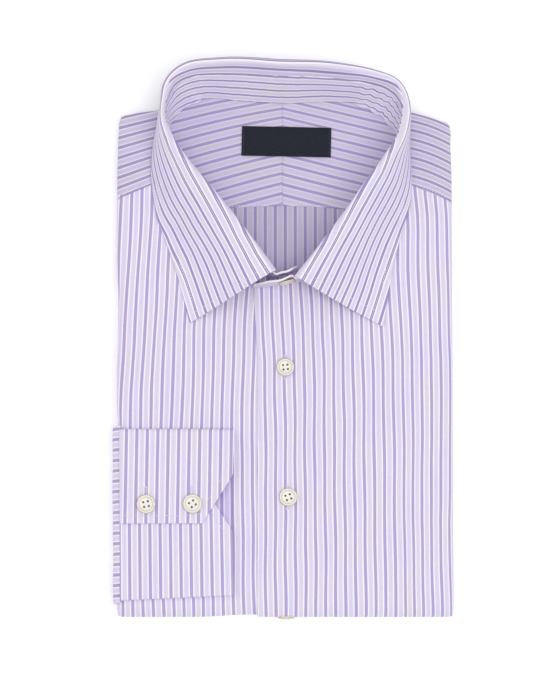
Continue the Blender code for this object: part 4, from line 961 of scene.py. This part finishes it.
# Outside, the bar number by the seen share of the way from edge to crest, smooth between the table's columns.
# Behind the neck and inside the roll the bars follow the cloth's own length.
def leafUv(grid, around, crestLength):
    feet, crests, edges, _, _, _, _ = collarLines(around)
    table = collar["bars"]
    knots = columnsAt(around, table[:, 0], table[:, 1:])
    place = np.clip(seenShare(grid, edges, crests), 0, 1) * 4
    i, rows = np.clip(place.astype(int), 0, 3), np.arange(len(grid))[:, None]
    slopes = np.gradient(knots, axis=1)
    u = cubic(place - i, knots[rows, i], knots[rows, i + 1], slopes[rows, i], slopes[rows, i + 1])
    past = (lengthsAlong(grid, 1) - crestLength[:, None]) / repeat
    byLength = knots[:, 4:] + past
    steep = fade(np.linalg.norm((edges - crests)[:, :2], axis=1), 14, 6)[:, None]
    within = insideBars(grid, around, crests, feet, byLength, flip=True)
    u = np.where(past > 0, byLength, between(u, byLength, steep))
    # near the crest, and on one bar near the points, a bar shows as two thin dark lines: painted shade, as where the
    # cloth turns away
    reach = np.where(around > 0.5, 1.3, 1.9)[:, None]
    atPoints = fade(0.5 - np.abs(around - 0.5), 0.13, 0.03)[:, None]
    crisp = np.maximum(rise(past, -reach, 0.7) * (past < 0) * 0.85, bell(u - 1, 0.35) * atPoints * 0.6) * (past < 0.2)
    v = around[:, None] * neckLength / repeat + 0 * u
    low = 0.28 - 0.24 * rise(around, 0.33, 0.02) * fade(around, 0.70, 0.02)
    return np.stack([u, v], axis=2), np.stack([within, v], axis=2), past > low[:, None], crisp


def makeLeaf():
    grid, around, crestLength = leafGrid()
    uv, inside, turned, crisp = leafUv(grid, around, crestLength)
    run, d = around * neckLength, collar["topstitch"]
    down = lengthsAlong(grid, 1)
    left = down[:, -1:] - down
    edge = np.minimum(np.minimum(run, neckLength - run)[:, None], down)
    thick = collar["leaf"] * rounded(np.minimum(edge, left), 0.6) \
        - collar["groove"] * bell(edge - d, 0.55) * rise(left, 6, 3)
    leaf = sheetRound("collarLeaf", grid, thick, uv, collarCotton, (inside, turned), {"crisp": crisp})
    normal = normalsOf(grid)
    normal = normal * np.sign(normal[..., 2:])
    face = grid + normal * (thick / 2)[..., None]
    column = int(np.argmin(np.abs(np.median(down, axis=0) - d)))
    keep = (run > d) & (run < neckLength - d)
    hem = np.array([columnsAt(d, down[i], face[i]) for i in np.nonzero(keep)[0]])
    beads = [stitchLine(hem, normal[keep, column])]
    for target in (d, neckLength - d):
        i = int(np.argmin(np.abs(run - target)))
        cut = (down[i] > d) & (left[i] > 9)
        beads.append(stitchLine(face[i][cut], normal[i][cut]))
    return dress(leaf, "collar_leaf"), sewn("collarStitches", beads, thread)


collarStand, standMiddle = makeStand()
collarLeaf, collarStitches = makeLeaf()
print("collar made")


cuff = {
    "armX": -108.4, "wristX": -34.7, "lowY": -169.7, "highY": -59.8, "lowTilt": 0.045,
    "lower": 1.2, "underEnd": 3.3, "overEnd": 5.2, "thick": 1.35,
    "overEndY": -121.6, "overMitre": (-89.6, -54.5), "underEndY": -101.0, "underMitre": (-126.2, -51.2),
    "topstitch": 5.0, "groove": 0.28, "armLean": 1.0, "wristFlare": 1.0,
    # bars by the length run: length, x of the first one, pitch
    "bars": np.array([(0, -102.65, 6.68), (70, -101.85, 6.74), (183, -104.5, 6.89), (247, -105.4, 6.89)]),
}


def rightFrontHeight(x, y):
    x = np.maximum(x, -(body["sideX"] - 6.0))
    return topHeight(x, y) - lapDepth(x)


# The strip's path: up from its under end, round the lower fold, up to the higher fold and down to its over
# end, as y, level over the front and the x of its wrist side, by the length run.
def cuffPath():
    low, high, lower = cuff["lowY"], cuff["highY"], cuff["lower"]
    small, large = (cuff["underEnd"] - lower) / 2, (cuff["overEnd"] - lower) / 2
    firstY, lastY = low + small, high - large

    # edge is -1 where a run starts with a stitched edge, and 1 where it ends with one
    def flatRun(start, end, edge=0):
        length = abs(end - start)
        near = {-1: (cuff["topstitch"],), 0: (), 1: (length - cuff["topstitch"],)}[edge]
        return start + (end - start) * steps(length, 2.0, near, edge < 0, edge > 0) / length
    a = np.linspace(0, math.pi, 16)[1:-1]
    under = flatRun(cuff["underEndY"], firstY, -1)
    middle, over = flatRun(firstY, lastY), flatRun(lastY, cuff["overEndY"], 1)
    y = np.concatenate([under, firstY - small * np.sin(a), middle, lastY + large * np.sin(a), over])
    level = np.concatenate([under * 0 + cuff["underEnd"], lower + small * (1 + np.cos(a)), middle * 0 + lower,
                            lower + large * (1 - np.cos(a)), over * 0 + cuff["overEnd"]])
    half = (high - low) / 2
    wrist = cuff["wristX"] + cuff["wristFlare"] * ((y - low - half) / half) ** 2
    for part, (mitreY, mitreX), endY in ((slice(0, len(under)), cuff["underMitre"], cuff["underEndY"]),
                                         (slice(-len(over), None), cuff["overMitre"], cuff["overEndY"])):
        wrist[part] += (mitreX - cuff["wristX"]) * np.clip((y[part] - mitreY) / (endY - mitreY), 0, 1)
    return y, level, wrist, runOf(np.stack([y, level], axis=1))


# The strip along its path, from its arm side to its wrist side. The lower fold tilts, the edges are rounded
# and a groove runs inside them under the stitches.
def makeCuff():
    y, level, wrist, run = cuffPath()
    d = cuff["topstitch"]
    marks = steps(12.0, 1.5, near=(d,), end=False)
    arm = cuff["armX"] - cuff["armLean"] * (y - cuff["lowY"])[:, None] / (cuff["highY"] - cuff["lowY"])
    left, right = arm + marks, wrist[:, None] - marks[::-1]
    x = np.concatenate([left, between(left[:, -1:], right[:, :1], np.linspace(0, 1, 30)[None, 1:-1]), right], axis=1)
    tilted = y[:, None] + cuff["lowTilt"] * (x - (cuff["armX"] + cuff["wristX"]) / 2) * fade(y[:, None], -115, 50)
    grid = np.stack([x, tilted, rightFrontHeight(x, tilted) + level[:, None]], axis=2)
    fromEnd = np.minimum(run, run[-1] - run)
    slant = np.hypot(1, np.gradient(wrist, run))
    edge = np.minimum(fromEnd[:, None], np.minimum(x - arm, (wrist[:, None] - x) / slant[:, None]))
    thick = cuff["thick"] * rounded(edge, 0.65) - cuff["groove"] * bell(edge - d, 0.5)
    first, pitch = columnsAt(run, cuff["bars"][:, 0], cuff["bars"][:, 1:]).T
    uv = np.stack([(x - first[:, None]) / pitch[:, None], run[:, None] / repeat + 0 * x], axis=2)
    # painted shade: the stripes are muted in the notch between both mitres, where the layers above shade the middle one
    inFold = (run > run[-1] * 0.24) & (run < run[-1] * 0.8)
    dull = inFold[:, None] * rise(x, -58, 4) * rise(tilted, -131, 2) * fade(tilted, -86, 2)
    made = dress(sheetRound("cuffRight", grid, thick, uv, stripedCotton, marks={"dull": dull}), "cuff_right")
    # topstitching on the outer faces: along each mitre and its fold's wrist side, and across the end
    height = grid[..., 2] + thick / 2
    stitchX = wrist - d * slant
    stitchZ = np.array([np.interp(*row) for row in zip(stitchX, x, height)])
    beads = []
    for rows in (np.arange(np.argmax(y < cuff["lowY"] + 3)),
                 np.arange(len(y) - np.argmax(y[::-1] > cuff["highY"] - 4), len(y))):
        inside = rows[fromEnd[rows] >= d]
        last = rows[np.argmin(np.abs(fromEnd[rows] - d))]
        across = np.linspace(cuff["armX"] + 1, stitchX[last], 60)
        crossing = np.stack([across, 0 * across + y[last], np.interp(across, x[last], height[last])], axis=1)
        beads += [stitchLine(np.stack([stitchX, y, stitchZ], axis=1)[inside]), stitchLine(crossing)]
    return made, sewn("cuffStitches", beads, thread)


cuffRight, cuffStitches = makeCuff()


sleeve = {"lowY": -173.5, "highY": -56.5, "thick": 3.4, "radius": 6.0, "off": 0.35, "taper": 0.32, "wobble": 0.25,
          "sweep": (math.radians(27), math.radians(158)), "cloth": 0.7, "firstBarY": -65.9, "barPitch": 6.86}


# A flattened tube that leaves the cuff and turns down round the folded side: a long oval ring swept on an arc.
def makeSleeve():
    low, high, turn = sleeve["lowY"], sleeve["highY"], sleeve["thick"] / 2
    centreX, centreZ = -(body["sideX"] - sleeve["radius"]), body["stack"] - sleeve["radius"]
    a = np.linspace(-math.pi / 2, math.pi / 2, 14)
    straight = np.linspace(high - turn, low + turn, 70)[1:-1]
    y = np.concatenate([high - turn + turn * np.cos(a), straight, low + turn - turn * np.cos(a), straight[::-1]])
    level = np.concatenate([turn * np.sin(a), straight * 0 + turn, turn * np.sin(a[::-1]), straight * 0 - turn])
    inY = (low + high) / 2 + (y - (low + high) / 2) * (1 - 2 * sleeve["cloth"] / (high - low))
    inLevel = level * (turn - sleeve["cloth"]) / turn
    sweep = np.linspace(*sleeve["sweep"], 40)[None, :]
    wobble = sleeve["wobble"] * np.sin(y[:, None] / 7 + sweep * 2) * np.sin(y[:, None] / 17 + 1) * (level[:, None] > 0)
    grids = []
    for ringY, ringLevel, uneven in ((y[:, None], level[:, None], wobble), (inY[:, None], inLevel[:, None], 0)):
        taper = 1 - sleeve["taper"] * (high - ringY) / (high - low)
        reach = sleeve["radius"] + sleeve["off"] + (turn + ringLevel) * taper + uneven
        grids.append(np.stack([centreX - reach * np.sin(sweep), ringY + 0 * sweep,
                               centreZ + reach * np.cos(sweep)], axis=2))
    u = (sleeve["firstBarY"] - np.append(y, y[0])[:, None]) / sleeve["barPitch"] + 0 * sweep
    uv = np.stack([u, (sleeve["radius"] + sleeve["off"] + turn) * sweep / repeat + 0 * u], axis=2)
    return dress(shell("sleeveRight", *grids, uv, stripedCotton, ring=True), "sleeve_right")


sleeveRight = makeSleeve()
print("cuff and sleeve made")


layers = {"count": 3, "flare": 4.4, "sideX": 104.6, "lowY": -169.5, "unevenness": 0.9, "gap": 0.06, "points": 420,
          "floor": 4.5, "rest": 0.1, "insets": np.array([0.9, 0.6, 0.3, 0.1, 0.03])}


def slabOutline():
    low, side = layers["lowY"], layers["sideX"]
    rightHalf = np.array([(0, low), (side - 3, low), (side, low + 5), (side, 60), (side, 110)])
    corners = np.concatenate([rightHalf, yoke["leftShoulder"][2:-1, :2], yoke["rightShoulder"][:1:-1, :2],
                              rightHalf[::-1] * (-1, 1)])
    lengths = runOf(corners)
    run = np.linspace(0, lengths[-1], layers["points"] + 1)[:-1]
    return columnsAt(run, lengths, corners) * 0.997, run


# A closed slab: rings shrink to the middle on the underside, swell round a half-circle rim and shrink again.
def makeSlab(index):
    outline, run = slabOutline()
    x, y = outline.T
    gap, insets = layers["gap"], layers["insets"]
    floor = np.where(y < 66, layers["floor"], between(layers["floor"], layers["rest"], rise(y, 62, 8)))
    rim = (lipHeight(y) - 0.35 - floor) / layers["count"]
    low, high = floor + rim * index + gap, floor + rim * (index + 1) - gap
    half = (high - low) / 2
    centre = np.array([0.0, -5.0])
    outward = (outline - centre) / np.linalg.norm(outline - centre, axis=1)[:, None]
    flare = layers["flare"] * rise(y, -165, 40)
    uneven = layers["unevenness"] * (0.6 * np.sin(run / 31 + index * 2.1) + 0.4 * np.sin(run / 12.3 + index * 1.3))
    push = np.stack([np.sign(x) * (np.abs(x) > 99), (y > 140) * 0.8], axis=1)
    edge = outline + push * (flare - 1.2 - half + np.minimum(uneven - 0.5, 0))[:, None]
    rings = [np.column_stack([between(edge, centre, t), low]) for t in insets]
    rings += [np.column_stack([edge + outward * (half * np.cos(a))[:, None], (low + high) / 2 + half * np.sin(a)])
              for a in np.linspace(-math.pi / 2, math.pi / 2, 9)]
    rings += [np.column_stack([between(edge, centre, t), high]) for t in insets[::-1]]
    rows, columns = len(rings), len(outline)
    # each flat middle is closed with a fan of quads between opposite points
    m = np.arange(columns // 2 - 1)
    bottom = np.stack([m, columns - 1 - m, columns - 2 - m, m + 1], axis=1)
    quads = np.concatenate([tubeQuads(rows, columns), bottom, bottom[:, ::-1] + (rows - 1) * columns])
    points = np.concatenate(rings)
    corners = points[quads]
    uv = np.stack([corners[..., 0], corners[..., 1] - corners[..., 2]], axis=2) / repeat
    return dress(addMesh(f"foldedLayer{index + 1}", points, quads, innerCotton, uv, 50), "folded_layers")


slabs = [makeSlab(index) for index in range(layers["count"])]
print("hidden layers made")


button = {
    "radius": 5.9, "thick": 2.4, "holeR": 0.75, "holeSpread": 2.1, "threadR": 0.5, "around": 48, "holeAround": 20,
    # radius and height of the profile, as shares of the button's radius and thickness
    "profile": np.array([
        (0.02, 0.0), (0.4, 0.0), (0.74, 0.02), (0.9, 0.2), (0.975, 0.45), (1.0, 0.68), (0.985, 0.84), (0.94, 0.96),
        (0.88, 1.0), (0.82, 0.97), (0.77, 0.88), (0.71, 0.74), (0.62, 0.66), (0.4, 0.62), (0.02, 0.6)]),
    # turn, size and how far the button sits aside of its place
    "flat": {"button_front_upper": (0.1, 1.0, (0, 0, 0)), "button_front_lower": (0.35, 1.02, (0.3, 0.3, 0)),
             "button_cuff_arm": (0.2, 1.06, (0.5, 0.4, 0)), "button_cuff_wrist": (0.6, 1.08, (0.5, 0, 0))},
    "hemX": 0.4, "hemAngle": math.radians(106), "hemSunk": 1.7, "hemTurn": 0.5,
    "collarTilt": -0.12, "collarAside": (2.2, 1.5, 1.2), "collarTurn": 0.2, "collarRow": 8,
}


def circle(count):
    turn = np.arange(count) * math.tau / count
    return np.cos(turn), np.sin(turn)


# The profile turned round its axis, and four holes cut through it.
def buttonBlank():
    cos, sin = circle(button["around"])
    r, z = button["profile"][:, :1] * button["radius"], button["profile"][:, 1:] * button["thick"]
    rings = np.stack([r * cos, r * sin, z + 0 * cos], axis=2)
    shapes = [("buttonBlank", rings.reshape(-1, 3).tolist(), cappedTube(*rings.shape[:2]))]
    points, faces = [], []
    cos, sin = circle(button["holeAround"])
    for n in range(4):
        a = math.radians(45 + 90 * n)
        x = button["holeSpread"] * math.cos(a) + button["holeR"] * cos
        y = button["holeSpread"] * math.sin(a) + button["holeR"] * sin
        faces += cappedTube(2, len(x), len(points))
        points += [(*place, level) for level in (-2, 6) for place in zip(x, y)]
    shapes.append(("buttonHoles", points, faces))
    made = []
    for name, points, faces in shapes:
        mesh = bpy.data.meshes.new(name)
        mesh.from_pydata(points, [], faces)
        made.append(addObject(name, mesh))
    blank, cutter = made
    blank.modifiers.new("holes", "BOOLEAN").object = cutter
    result = bpy.data.meshes.new_from_object(blank.evaluated_get(bpy.context.evaluated_depsgraph_get()))
    for one in made:
        bpy.data.objects.remove(one)
    return result


buttonShape = buttonBlank()


# A round bar between two places, for the thread that holds a button.
def threadBar(start, end):
    path = between(np.array(start), np.array(end), np.linspace(0, 1, 7)[:, None])
    forward = (path[-1] - path[0]) / np.linalg.norm(path[-1] - path[0])
    aside = np.cross(forward, [0.3, 0.2, 1.0])
    aside /= np.linalg.norm(aside)
    cos, sin = circle(8)
    ring = aside * cos[:, None] + np.cross(aside, forward) * sin[:, None]
    return (path[:, None] + button["threadR"] * ring).reshape(-1, 3)


# Points of a button, turned on its own axis and carried to a place, with that axis along facing.
def placed(points, spot, facing, turn):
    side = np.cross([0, 1.0, 0] if abs(facing[1]) < 0.9 else [0, 0, -1.0], facing)
    side /= np.linalg.norm(side)
    c, s = math.cos(turn), math.sin(turn)
    x, y = points[:, 0] * c - points[:, 1] * s, points[:, 0] * s + points[:, 1] * c
    return spot + x[:, None] * side + y[:, None] * np.cross(facing, side) + points[:, 2:] * facing


def makeButton(node, spot, facing, turn, size=1.0):
    name = "".join(word.capitalize() if n else word for n, word in enumerate(node.split("_")))
    mesh = buttonShape.copy()
    mesh.name = name
    points = np.empty(len(mesh.vertices) * 3, np.float32)
    mesh.vertices.foreach_get("co", points)
    points = points.reshape(-1, 3).astype(float)
    out = np.hypot(points[:, 0], points[:, 1]) / button["radius"]
    # rim mark: the outer edge, its own brownish tone with painted shade, and a ring of painted shade in the groove at
    # the dish's inner edge
    rim = np.clip(0.85 * rise(out, 0.9, 0.05) + 0.6 * bell(out - 0.72, 0.05), 0, 1)
    mesh.attributes.new("rim", "FLOAT", "POINT").data.foreach_set("value", rim.astype(np.float32))
    points = placed(points * (size, size, 1.0), spot, facing, turn)
    mesh.vertices.foreach_set("co", ((points + toFrame) * 0.001).astype(np.float32).ravel())
    mesh.materials.clear()
    mesh.materials.append(pearl)
    mesh.shade_smooth()
    mesh.set_sharp_from_angle(angle=math.radians(40))
    mesh.update()
    dress(addObject(name, mesh), node, slot="pearl_button")
    # thread bars through the holes, in the dark thread colour that paints the holes' shade
    s, top = button["holeSpread"] * math.sqrt(0.5), button["thick"] * 0.62 - 0.25
    bars = np.concatenate([threadBar((x, y, top), (x * 0.9, y * 0.9, -0.9)) for x in (-s, s) for y in (-s, s)])
    faces = [face[::-1] for n in range(4) for face in cappedTube(7, 8, 56 * n)]
    dress(addMesh(name + "Thread", placed(bars, spot, facing, turn), faces, holeThread))


def nodeMiddle(node):
    low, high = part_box(node)
    return np.array((low + high) / 2) * 1000 - toFrame, low.z * 1000


def makeButtons():
    for node, (turn, size, aside) in button["flat"].items():
        middle, low = nodeMiddle(node)
        makeButton(node, np.array([middle[0], middle[1], low]) + aside, np.array([0, 0, 1.0]), turn, size)
    facing = np.array([0, -math.sin(button["hemAngle"]), math.cos(button["hemAngle"])])
    spot = np.array([button["hemX"], body["foldY"], foldR]) + facing * (foldR - button["hemSunk"])
    makeButton("button_hem_fold", spot, facing, button["hemTurn"])
    # the collar's button faces away from the left tab, a little down
    middle, _ = nodeMiddle("button_collar")
    row, last = button["collarRow"], len(standMiddle) * 3 // 4
    nearest = int(np.argmin(np.abs(standMiddle[last:, row, 0] - middle[0]))) + last
    facing = normalsOf(standMiddle)[nearest, row]
    facing = facing * (1, 1, 0) * (1 if facing[1] < 0 else -1) + (0, 0, button["collarTilt"])
    facing /= np.linalg.norm(facing)
    spot = middle - facing * button["thick"] / 2 + button["collarAside"]
    makeButton("button_collar", spot, facing, button["collarTurn"])


makeButtons()
print("buttons made")


# Stitches along the outer yoke's seams with the fronts, and along the inner yoke's centre seam.
def makeSeams():
    lines = [face[np.argmin(np.abs(lengthsAlong(face, 0)[:, 25] - 1.6)), 2:yoke["fanSteps"] + 4]
             for face in (yokeRightFace, yokeLeftFace)]
    seams = sewn("yokeStitches", [stitchLine(line) for line in lines], thread)
    lines = [face[:, np.argmin(np.abs(lengthsAlong(face, 1)[0] - 1.5))] for face in (innerRightFace, innerLeftFace)]
    return seams, sewn("innerYokeStitches", [stitchLine(line) for line in lines], thread)


holeStitch = {"side": (0.15, 1.15), "pitch": 0.42, "bar": 1.3, "barRows": (0.0, 0.4)}


# A buttonhole: short stitches side by side down both edges of a slit, and a bar across each end.
def makeButtonhole(name, x, y, length, height):
    def line(across, along, lift):
        return np.stack([x + across, y + along + 0 * across, height(x + across, y + along) + lift], axis=1)
    half, edge = length / 2, np.array(holeStitch["side"])
    beads = [stitchLine(line(side * edge, along, 0.05), pitch=1.0, share=1.0, width=0.4, height=0.34)
             for side in (-1, 1) for along in np.linspace(-half, half, int(length / holeStitch["pitch"]))]
    bar = np.linspace(-holeStitch["bar"], holeStitch["bar"], 3)
    beads += [stitchLine(line(bar, end * (half + row), 0.1), pitch=2.6, share=1.0, width=0.5, height=0.4)
              for end in (-1, 1) for row in holeStitch["barRows"]]
    return sewn(name, beads, thread)


def cuffTop(x, y):
    return rightFrontHeight(x, y) + cuff["overEnd"] + cuff["thick"] / 2


yokeStitches, innerYokeStitches = makeSeams()
holes = [makeButtonhole("buttonholeFrontUpper", 0.0, -17.6, 15.5, topHeight),
         makeButtonhole("buttonholeFrontLower", 1.5, -103.9, 15.5, topHeight)]
cuffHoles = [makeButtonhole("buttonholeCuffArm", -92.0, -105.4, 15.0, cuffTop),
             makeButtonhole("buttonholeCuffWrist", -61.6, -104.8, 15.0, cuffTop)]
print("seams and buttonholes made")


studio = {
    "skyLight": 0.6, "floorGlow": 0.2, "floorSize": 6.0, "sensor": 36.0,
    # name, watts, size and place of each lamp, all aimed at the shirt
    "lamps": (("keyLight", 22.0, 1.6, (0.6, -0.5, 2.3)), ("fillLight", 9.0, 2.2, (-1.2, 0.6, 2.0))),
}


def lookingAlong(direction):
    return direction.to_track_quat("-Z", "Y").to_euler()


def makeStudio():
    floorMesh = bpy.data.meshes.new("floor")
    half = studio["floorSize"]
    floorMesh.from_pydata([(-half, -half, 0), (half, -half, 0), (half, half, 0), (-half, half, 0)], [], [(0, 1, 2, 3)])
    floorMesh.materials.append(plainMaterial(
        "floorPaper", (252, 252, 252), 0.01, 3.0, None, 60.0, 0.00001, Roughness=0.9,
        Emission_Color=(1, 1, 1, 1), Emission_Strength=studio["floorGlow"]))
    addObject("floor", floorMesh)
    world = bpy.data.worlds.new("studioSky")
    world.use_nodes = True
    sky = world.node_tree.nodes["Background"].inputs
    sky[0].default_value, sky[1].default_value = (1.0, 1.0, 1.0, 1.0), studio["skyLight"]
    bpy.context.scene.world = world
    for name, watts, size, place in studio["lamps"]:
        lamp = bpy.data.lights.new(name, "AREA")
        lamp.energy, lamp.size = watts, size
        made = addObject(name, lamp)
        made.location, made.rotation_euler = place, lookingAlong(-Vector(place))
    cameraData = bpy.data.cameras.new("camera")
    cameraData.lens = studio["sensor"] * view["distance"] * 1000 / view["fieldHeight"]
    cameraData.sensor_width = studio["sensor"]
    camera = addObject("camera", cameraData)
    away = Vector((0, -math.cos(view["elevation"]), math.sin(view["elevation"])))
    camera.location = Vector(view["aim"]) * 0.001 + away * view["distance"]
    camera.rotation_euler = lookingAlong(-away)
    bpy.context.scene.camera = camera
    bpy.context.scene.view_settings.view_transform = "Standard"


makeStudio()
print("studio made")
